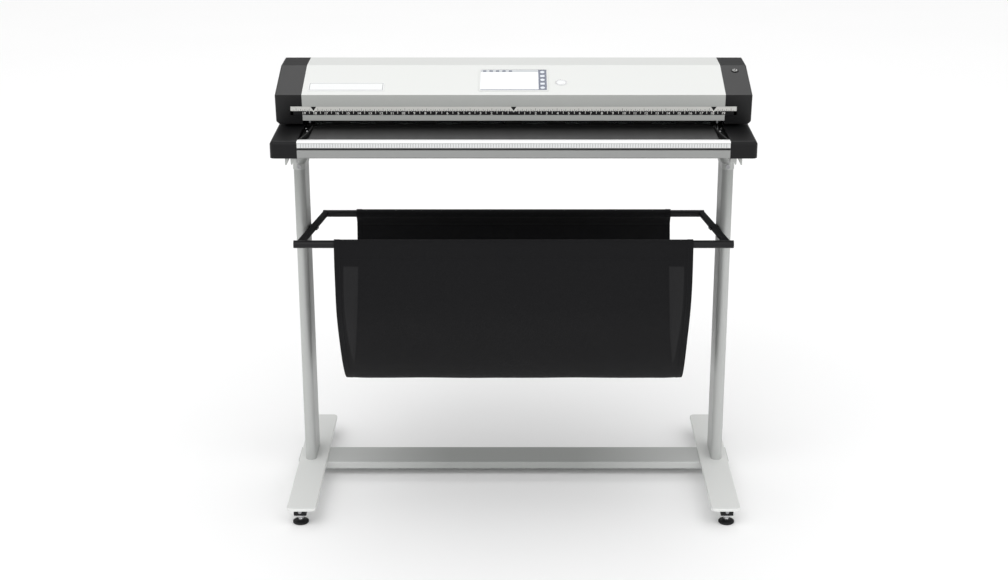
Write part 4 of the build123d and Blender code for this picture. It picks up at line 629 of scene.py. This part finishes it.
def make_plate_border():
    """Thin printed border on the blank plate, and a rim on the blank oval badge."""
    bm = bmesh.new()
    face = Face(LID_SLOPE.at(0, 0, 1.2), LID_SLOPE.right, LID_SLOPE.up)
    add_frame(bm, face, -386, 37, 170, 33, 1.4, -0.05, 0.08)
    make_piece("plate_border", bm, LID_BODY, "badge_silver", GREY_INK_AND_SHADE)

    bm = bmesh.new()
    steps = 40
    badge_u, badge_v = 110, 57
    half_width, half_height = 13.3, 11.8
    rings = []
    for scale, height in ((1.0, -0.1), (1.0, 0.7), (0.93, 0.9), (0.86, 0.7), (0.86, -0.1)):
        rings.append([
            bm.verts.new(face.at(
                badge_u + half_width * scale * math.cos(2 * math.pi * i / steps),
                badge_v + half_height * scale * math.sin(2 * math.pi * i / steps), height))
            for i in range(steps)
        ])
    for lower, upper in zip(rings, rings[1:] + rings[:1]):
        for i in range(steps):
            j = (i + 1) % steps
            bm.faces.new((lower[i], lower[j], upper[j], upper[i])).smooth = True
    make_piece("badge_rim", bm, LID_BODY, "badge_silver", MATS["bright_steel"])


def make_power_symbol():
    """Open ring and bar printed on the power button, which carries them when it is pressed."""
    bm = bmesh.new()
    face = Face(LID_SLOPE.at(518, 116, 1.4), LID_SLOPE.right, LID_SLOPE.up)
    steps = 28
    start, sweep = math.radians(125), math.radians(290)
    outer, inner = 5.2, 4.0
    low, high = -0.05, 0.08
    for i in range(steps):
        a = start + sweep * i / steps
        b = start + sweep * (i + 1) / steps
        outline = [
            (inner * math.cos(a), inner * math.sin(a)), (outer * math.cos(a), outer * math.sin(a)),
            (outer * math.cos(b), outer * math.sin(b)), (inner * math.cos(b), inner * math.sin(b)),
        ]
        add_prism(bm, face, outline, low, high)
    add_prism(bm, face, rectangle(0, 3.6, 1.3, 4.6), low, high)
    bmesh.ops.remove_doubles(bm, verts=bm.verts[:], dist=1e-7)
    make_piece("power_symbol", bm, "power_button", "cap_plastic", INK_WHITE)


# ---- front rail ----------------------------------------------------------------

def make_rail_marks():
    """Painted shade on the rail: a black strip in the groove, a dark line under the top lip, and
    grey strips in the gaps between the scale's ribs.
    """
    half = 485.0
    ribs, rib_pitch = 160, 6.0
    bm = bmesh.new()
    # Painted shade: a black strip set in the groove, where its shade falls.
    groove = [(-half, 20.2), (half, 20.2), (half, 22.9), (-half, 22.9)]
    add_prism(bm, RAIL_FRONT, groove, -4.1, -2.4)
    # Painted shadow: a thin dark line under the rail's top lip.
    add_prism(bm, RAIL_FRONT, rectangle(0, 34.55, 2 * half, 0.7), -0.9, -0.15)
    # Painted shade: grey strips in the gaps between the scale's ribs.
    for number in range(ribs):
        u = (number - (ribs - 1) / 2) * rib_pitch
        add_prism(bm, RAIL_FRONT, rectangle(u, 29.3, 0.9, 8.6), -0.6, -0.22, 1)
    make_piece("rail_painted_shade", bm, BASE_BODY, "black_plastic", MATS["black_plastic"], GREY_INK_AND_SHADE)


# ---- fasteners and sockets -----------------------------------------------------

GLIDE_X, GLIDE_FRONT_Y, GLIDE_REAR_Y = 506.0, -303.0, 211.0
THREAD_START, THREAD_END = 13.0, 37.0    # heights along a stud


def stud_profile():
    """Radius and height along a levelling foot's threaded stud, with a narrower tip."""
    pitch, root, crest = 1.5, 4.45, 4.98
    profile = [(root, 12.3)]
    height = THREAD_START
    while height < THREAD_END:
        profile += [
            (root, height), (crest, height + pitch * 0.4), (crest, height + pitch * 0.55)]
        height += pitch
    profile.append((root - 0.6, 37.5))
    return profile


def make_glides():
    """Levelling feet: a black plastic pad, a steel hexagon and a threaded steel stud."""
    pad = ((18.0, 0.0), (19.0, 1.0), (19.0, 3.5), (17.5, 5.0), (12.5, 6.6), (8.0, 8.0))
    face = Face((0, LEG_PLANE_Y, 0), (1, 0, 0), (0, 1, 0))
    for end, y in (("front", GLIDE_FRONT_Y), ("rear", GLIDE_REAR_Y)):
        for side in (-1, 1):
            bm = bmesh.new()
            u = side * GLIDE_X
            add_lathe(bm, face, u, y, pad, steps=40)
            add_prism(bm, face, disc(u, y, 7.0, 6), 7.9, 12.5, 1)
            add_lathe(bm, face, u, y, stud_profile(), steps=20, index=1)
            name = f"glide_{end}_{'left' if side < 0 else 'right'}"
            piece = make_piece(
                f"{name}_foot", bm, name, "black_plastic",
                MATS["black_plastic"], MATS["bright_steel"])
            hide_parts(name)


def make_saddle_caps():
    """Black caps over the screws that hold the basket's side tubes."""
    bm = bmesh.new()
    profile = ((4.9, -0.6), (4.9, 1.6), (4.2, 2.9), (2.4, 3.3))
    tube_front_x, tube_narrows, cap_inset = 488.5, 6.5, 8.5
    for side in (-1, 1):
        for y in (-12.0, 12.0):
            share = (y - FRONT_TUBE[0]) / (REAR_TUBE[0] - FRONT_TUBE[0])
            x = tube_front_x - tube_narrows * share - cap_inset
            z = FRONT_TUBE[1] + share * (REAR_TUBE[1] - FRONT_TUBE[1])
            face = Face((side * x * MM, y * MM + LEG_PLANE_Y, z * MM), (0, -side, 0), (0, 0, 1))
            add_lathe(bm, face, 0, 0, profile)
    make_piece("saddle_caps", bm, BASE_BODY, "black_plastic", MATS["black_plastic"])


def make_deck_screws():
    """Bright screws that hold the paper guides, beside them on the deck."""
    bm = bmesh.new()
    for side in (-1, 1):
        for v in (-130, -178, -216):
            u = side * (475.5 if v > -200 else 468.0)
            add_screw_head(bm, DECK, u, v, 3.0)
    make_piece("deck_screws", bm, BASE_BODY, "bright_steel", MATS["bright_steel"])


MAINS_U, DATA_US = 400, (328, 304, 280)  # middles of the mains inlet and the data sockets


def make_rear_details():
    """Screws of the rear cover, pins of the mains inlet and tongues of the data sockets."""
    bm = bmesh.new()
    for x in (-470, -215, -60, 100, 250, 400, 470):
        for z in (858, 896):
            add_screw_head(bm, REAR_COVER, -x, z, 3.2)
    make_piece("rear_screws", bm, BASE_BODY, "bright_steel", MATS["bright_steel"])

    bm = bmesh.new()
    recess = -9.2
    for u, v in ((-7, -1.5), (7, -1.5), (0, 3)):
        add_prism(bm, SOCKET_FACE, rounded(MAINS_U + u, v, 2.2, 4.2, 0.8, 3), recess, -2.5)
    for u in DATA_US:
        add_prism(bm, SOCKET_FACE, rectangle(u, 0.8, 9.0, 1.8), recess, -1.5)
    make_piece("socket_contacts", bm, BASE_BODY, "brass", MATS["brass"])


# ---- catch basket --------------------------------------------------------------

# The basket's sizes are in millimetres, with Y measured from the legs' middle plane.
FRONT_TUBE, REAR_TUBE = (-263.0, 681.0), (252.0, 598.0)      # Y and Z of each tube's middle
LOOP_R = 10.2                # middle of the cloth around a tube
CLOTH = 1.3                  # thickness
PLAIN_SHARE = 0.55           # the plain cloth's thickness as a share of the hem's
SLING_POINTS = (
    (-279.0, 618.0), (-269.0, 527.0), (-237.0, 445.0), (-186.0, 353.0), (-122.0, 297.0),
    (-10.0, 269.0), (104.0, 299.0), (187.0, 374.0), (234.0, 465.0), (256.0, 545.0),
)
FRONT_HALF, REAR_HALF = 408.5, 402.0     # half the cloth's width at each tube
SEAM_BELOW, SEAM_GAP = 30.0, 4.0         # lower row of stitches below a tube, and up to the next
FLAP_FROM, FLAP_TO = 18.0, 36.0          # the sleeve's flap, from and to below a tube's middle
HEM = 14.0
HANG_STEP = 8.0              # distance between the cloth's rows


def smooth_line(points, step):
    """Points every step along a smooth curve through the given ones (Catmull-Rom)."""
    pts = np.array(points, float)
    pts = np.vstack([2 * pts[0] - pts[1], pts, 2 * pts[-1] - pts[-2]])
    dense = []
    for a, b, c, d in zip(pts, pts[1:], pts[2:], pts[3:]):
        for t in np.linspace(0, 1, 40, endpoint=False):
            square, cube = 2 * a - 5 * b + 4 * c - d, 3 * b - a - 3 * c + d
            dense.append(0.5 * (2 * b + (c - a) * t + square * t ** 2 + cube * t ** 3))
    dense.append(pts[-2])
    dense = np.array(dense)
    along = np.concatenate([[0], np.cumsum(np.linalg.norm(np.diff(dense, axis=0), axis=1))])
    stations = np.linspace(0, along[-1], max(2, round(along[-1] / step)) + 1)
    return np.stack([np.interp(stations, along, dense[:, i]) for i in (0, 1)], axis=1)


def arc_points(centre, start, end, count):
    """Cloth's middle line around a tube, between two angles in degrees."""
    turns = [math.radians(a) for a in np.linspace(start, end, count)]
    return [
        (centre[0] + LOOP_R * math.cos(a), centre[1] + LOOP_R * math.sin(a)) for a in turns]


def flap_points(hanging, tube, side, gap):
    """The sleeve's seam flap, inside the hanging cloth and upwards, on side -1 or 1 in Y."""
    rows = [
        p for p in hanging
        if tube[1] - FLAP_TO < p[1] < tube[1] - FLAP_FROM and p[0] * side > 0]
    return [(y - side * gap, z) for y, z in reversed(rows)]


def sling_profile():
    """Cloth's middle line in the YZ plane, with each point's share of the way from the front
    to the rear, the hanging part's first row and its number of rows."""
    front_side = (FRONT_TUBE[0] - LOOP_R, FRONT_TUBE[1])
    rear_side = (REAR_TUBE[0] + LOOP_R, REAR_TUBE[1])
    hanging = smooth_line([front_side, *SLING_POINTS, rear_side], HANG_STEP)
    gap = CLOTH + 0.7
    front_flap = flap_points(hanging, FRONT_TUBE, -1, gap)
    rear_flap = flap_points(hanging, REAR_TUBE, 1, gap)
    front_loop = arc_points(FRONT_TUBE, -60, 172, 20)
    rear_loop = arc_points(REAR_TUBE, 8, 240, 20)
    points = [*front_flap, *front_loop, *map(tuple, hanging), *rear_loop, *rear_flap]
    before = len(front_flap) + len(front_loop)
    share = [min(1.0, max(0.0, (i - before) / (len(hanging) - 1))) for i in range(len(points))]
    return np.array(points), np.array(share), before, len(hanging)


def ease(value, low, high):
    """Smooth step from 0 at low to 1 at high."""
    t = np.clip((value - low) / (high - low), 0, 1)
    return t * t * (3 - 2 * t)


def make_bag():
    """The cloth sling: one sheet with a sleeve around each tube, pleats and hemmed sides."""
    line, share, first, count = sling_profile()
    along = np.concatenate([[0], np.cumsum(np.linalg.norm(np.diff(line, axis=0), axis=1))])
    tangent = np.gradient(line, axis=0)
    tangent /= np.linalg.norm(tangent, axis=1)[:, None]
    outward = np.stack([tangent[:, 1], -tangent[:, 0]], axis=1)

    across_pleat = PLEAT_X + np.arange(-21.0, 18.1, 3.0)
    middle = np.linspace(-1, 1, 71) * (across_pleat[0] - 5)
    inner = np.concatenate([-across_pleat[::-1], middle, across_pleat])
    edge = np.array([0.0, 0.7, 2.0, HEM - 2.5, HEM - 1.2, HEM, HEM + 1.4])
    columns = np.concatenate([-FRONT_HALF + edge, inner, FRONT_HALF - edge[::-1]])

    length = along[first + count - 1] - along[first]
    run = np.clip(along - along[first], 0, length)
    hang = ease(run, 20, 160) * ease(length - run, 20, 160)
    down = np.clip((run - PLEAT_TOP) / (PLEAT_POINT - PLEAT_TOP), 0, 1)
    pleat_half = PLEAT_HALF * (1 - down ** 2) * ease(run, PLEAT_TOP - 14, PLEAT_TOP)
    rows = []
    for i, (y, z) in enumerate(line):
        half = FRONT_HALF + (REAR_HALF - FRONT_HALF) * share[i]
        x = columns * half / FRONT_HALF
        size = np.abs(x)
        # A flat tapering pleat near each side of the front, soft waves, ripples under the
        # sleeves, and a slight curl at the sides.
        from_middle = np.abs(size - PLEAT_X - PLEAT_DRIFT * down[i])
        fold = 2.4 * ease(pleat_half[i] - from_middle, -1.0, 5.0) * min(1.0, pleat_half[i] / 6)
        calm = 1 - 0.8 * ease(run[i], 240, 420) * ease(length - run[i], 240, 420)
        waves = 1.8 * hang[i] * calm * (
            np.sin(x / 63.0 + 0.9 + run[i] / 310.0) + 0.7 * np.sin(x / 29.0 - run[i] / 170.0 + 2.1))
        from_tube = min(run[i], length - run[i])
        near_seam = np.exp(-from_tube / 55.0) * ease(from_tube, 12, 45)
        ripples = 1.1 * near_seam * np.sin(x / 9.5 + 1.7 * np.sin(x / 71.0))
        uneven = 0.6 + 0.4 * np.sin(run[i] / 95.0 + x / 400.0)
        curl = -5.0 * hang[i] * ease(size, half - 45, half) * uneven
        out = fold + waves + ripples + curl
        sideways = 1.2 * hang[i] * np.sin(run[i] / 77.0 + np.sign(x)) * ease(size, half - 90, half)
        rows.append(np.stack(
            [x + sideways * np.sign(x), y + outward[i, 0] * out, z + outward[i, 1] * out], axis=1))
    grid = np.array(rows)

    bm = bmesh.new()
    uv_layer = bm.loops.layers.uv.new("cloth")
    verts = [
        [bm.verts.new((p[0] * MM, p[1] * MM + LEG_PLANE_Y, p[2] * MM)) for p in row]
        for row in grid]
    for i in range(len(verts) - 1):
        for j in range(len(columns) - 1):
            one = bm.faces.new((verts[i][j], verts[i][j + 1], verts[i + 1][j + 1], verts[i + 1][j]))
            one.smooth = True
            corners = ((i, j), (i, j + 1), (i + 1, j + 1), (i + 1, j))
            for loop, (row, column) in zip(one.loops, corners):
                loop[uv_layer].uv = (columns[column] * MM, (along[row] - along[first]) * MM)
    mesh = bpy.data.meshes.new("basket_cloth")
    bm.to_mesh(mesh)
    bm.free()
    bag = bpy.data.objects.new("basket_cloth", mesh)
    bpy.context.scene.collection.objects.link(bag)

    # Hemmed sides are nearly twice as thick: a vertex group steers the solidify modifier.
    thick = bag.vertex_groups.new(name="thick")
    width = len(columns)
    for j, x in enumerate(columns):
        weight = 1.0 if abs(x) >= FRONT_HALF - HEM + 0.1 else PLAIN_SHARE
        thick.add([i * width + j for i in range(len(line))], weight, "REPLACE")
    solid = bag.modifiers.new("solid", "SOLIDIFY")
    solid.thickness = CLOTH / PLAIN_SHARE * MM
    solid.offset = 0.0
    solid.vertex_group = "thick"
    solid.use_even_offset = False
    bpy.context.view_layer.update()
    graph = bpy.context.evaluated_depsgraph_get()
    done = bpy.data.meshes.new_from_object(
        bag.evaluated_get(graph), preserve_all_data_layers=True, depsgraph=graph)
    bag.modifiers.clear()
    bag.data = done
    bag.vertex_groups.clear()
    bpy.data.meshes.remove(mesh)
    set_material(bag, MATS["cloth_black"])
    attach(bag, BASE_BODY)
    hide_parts("basket_bag")

    stitches = make_stitches(grid, columns, along, outward, first, count)


def add_stitch(bm, middle, direction, length, radius):
    """One short thread, thinner at its ends."""
    direction = direction.normalized()
    side = direction.orthogonal().normalized()
    third = direction.cross(side)
    rings = []
    for share, scale in ((-0.5, 0.4), (-0.25, 1.0), (0.25, 1.0), (0.5, 0.4)):
        centre = middle + direction * (share * length)
        rings.append([
            bm.verts.new(centre + (side * math.cos(a) + third * math.sin(a)) * radius * scale)
            for a in (2 * math.pi * k / 6 for k in range(6))
        ])
    for lower, upper in zip(rings, rings[1:]):
        for k in range(6):
            bm.faces.new((lower[k], lower[(k + 1) % 6], upper[(k + 1) % 6], upper[k])).smooth = True
    bm.faces.new(rings[0][::-1])
    bm.faces.new(rings[-1])


def make_stitches(grid, columns, along, outward, first, count):
    """Seams as threads on the outside: along both hems, and two rows under each sleeve."""
    pitch, length, radius = 4.6, 3.0, 0.32
    bm = bmesh.new()

    def world(point):
        """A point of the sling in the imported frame, in metres."""
        return Vector((point[0] * MM, point[1] * MM + LEG_PLANE_Y, point[2] * MM))

    hanging = slice(first, first + count)
    outside = np.concatenate([np.zeros((len(outward), 1)), outward], axis=1)
    for target in (-FRONT_HALF + HEM - 3.0, FRONT_HALF - HEM + 3.0):
        j = int(np.argmin(np.abs(columns - target)))
        path = grid[hanging, j] + outside[hanging] * (CLOTH / PLAIN_SHARE / 2)
        run = along[hanging]
        for s in np.arange(run[0] + 6, run[-1] - 6, pitch):
            here = np.array([np.interp(s, run, path[:, k]) for k in range(3)])
            ahead = np.array([np.interp(s + 1, run, path[:, k]) for k in range(3)])
            add_stitch(bm, world(here), world(ahead) - world(here), length * MM, radius * MM)
    for below in (SEAM_BELOW - SEAM_GAP, SEAM_BELOW):
        for row in (first, first + count - 1):
            way = 1 if row == first else -1
            i = row
            while abs(along[i] - along[row]) < below:
                i += way
            path = grid[i] + outside[i] * (CLOTH / 2)
            for x in np.arange(path[0, 0] + 6, path[-1, 0] - 6, pitch):
                here = np.array([np.interp(x, path[:, 0], path[:, k]) for k in range(3)])
                ahead = np.array([np.interp(x + 1, path[:, 0], path[:, k]) for k in range(3)])
                add_stitch(bm, world(here), world(ahead) - world(here), length * MM, radius * MM)
    return make_piece("basket_stitches", bm, BASE_BODY, "cloth_black", THREAD)


# ---- stage, light and camera ---------------------------------------------------

PICTURE_WIDTH = 1008         # pixels, as the next two are
FOCAL_PX = 1782.0
AXIS_OFFSET_PX = 9.6         # the picture's middle lies this far left of the camera's axis
CAMERA_PLACE = (0.0, -4.092, 1.925)
CAMERA_PITCH = math.radians(19.33)
SENSOR_WIDTH = 36.0
FLOOR_HALF, FLOOR_Z = 40.0, -0.0005      # the floor lies just under the feet
WORLD_STRENGTH = 1.12
WALL_TONE = 0.22
WALL_Y, WALL_Z = (0.1, 0.5), (0.50, 0.66)    # where the wall's tone comes in, as a direction


def make_stage():
    """Pale matt floor."""
    mat, tree, shader, obj = new_material("floor_pale")
    slow = noise(tree, obj, 1.5, 2.0)
    tone = mix_colours(tree, slow, (0.94, 0.94, 0.94), (0.96, 0.96, 0.96))
    tree.links.new(tone, shader.inputs["Base Color"])
    shader.inputs["Roughness"].default_value = 0.9
    mesh = bpy.data.meshes.new("floor")
    corners = [(x * FLOOR_HALF, y * FLOOR_HALF, 0) for x, y in ((-1, -1), (1, -1), (1, 1), (-1, 1))]
    mesh.from_pydata(corners, [], [(0, 1, 2, 3)])
    floor = bpy.data.objects.new("floor", mesh)
    bpy.context.scene.collection.objects.link(floor)
    floor.location.z = FLOOR_Z
    mesh.materials.append(mat)


def add_area(name, place, target, size, power):
    """Rectangular light at a place, aimed at a target, with its power in watts."""
    light = bpy.data.lights.new(name, "AREA")
    light.shape = "RECTANGLE"
    light.size, light.size_y = size
    light.energy = power
    lamp = bpy.data.objects.new(name, light)
    lamp.location = place
    lamp.rotation_euler = (Vector(target) - Vector(place)).to_track_quat("-Z", "Y").to_euler()
    bpy.context.scene.collection.objects.link(lamp)


def make_light():
    """White world with a dim wall in it, and three soft lights."""
    world = bpy.data.worlds.new("studio")
    bpy.context.scene.world = world
    world.use_nodes = True
    tree = world.node_tree
    background = tree.nodes["Background"]
    # White all round, with a dim wall behind the object up to WALL_Z. The camera sees white
    # there: the wall only shows in reflections and in the light on surfaces that face it.
    coords = tree.nodes.new("ShaderNodeTexCoord")
    split = axes(tree, coords.outputs["Generated"])
    behind = remap(tree, split["Y"], *WALL_Y, 0.0, 1.0)
    low = remap(tree, split["Z"], *WALL_Z, 1.0, 0.0)
    path = tree.nodes.new("ShaderNodeLightPath")
    unseen = maths(tree, "SUBTRACT", 1.0, path.outputs["Is Camera Ray"])
    wall = maths(tree, "MULTIPLY", maths(tree, "MULTIPLY", behind, low), unseen)
    around = mix_colours(tree, wall, (1.0, 1.0, 1.0), (WALL_TONE, WALL_TONE, WALL_TONE))
    tree.links.new(around, background.inputs["Color"])
    background.inputs["Strength"].default_value = WORLD_STRENGTH
    add_area("key", (-1.8, -3.2, 4.2), (0, 0, 0.6), (3.6, 3.0), 38)
    add_area("fill", (2.6, -2.8, 2.6), (0, 0, 0.6), (3.0, 3.0), 14)
    add_area("back", (0.0, 3.2, 5.0), (0, 0, 0.8), (4.0, 2.0), 26)
    bpy.context.scene.view_settings.view_transform = "Standard"


def make_camera():
    """Camera in front of the object, looking down at it."""
    data = bpy.data.cameras.new("camera")
    data.sensor_width = SENSOR_WIDTH
    data.lens = SENSOR_WIDTH * FOCAL_PX / PICTURE_WIDTH
    data.shift_x = -AXIS_OFFSET_PX / PICTURE_WIDTH
    data.clip_end = 100.0
    camera = bpy.data.objects.new("camera", data)
    camera.location = CAMERA_PLACE
    camera.rotation_euler = (math.pi / 2 - CAMERA_PITCH, 0, 0)
    bpy.context.scene.collection.objects.link(camera)
    bpy.context.scene.camera = camera


make_ruler_marks()
make_band_marks()
make_screen_picture()
make_plate_border()
make_power_symbol()
make_rail_marks()
make_glides()
make_saddle_caps()
make_deck_screws()
make_rear_details()
make_bag()
make_stage()
make_light()
make_camera()
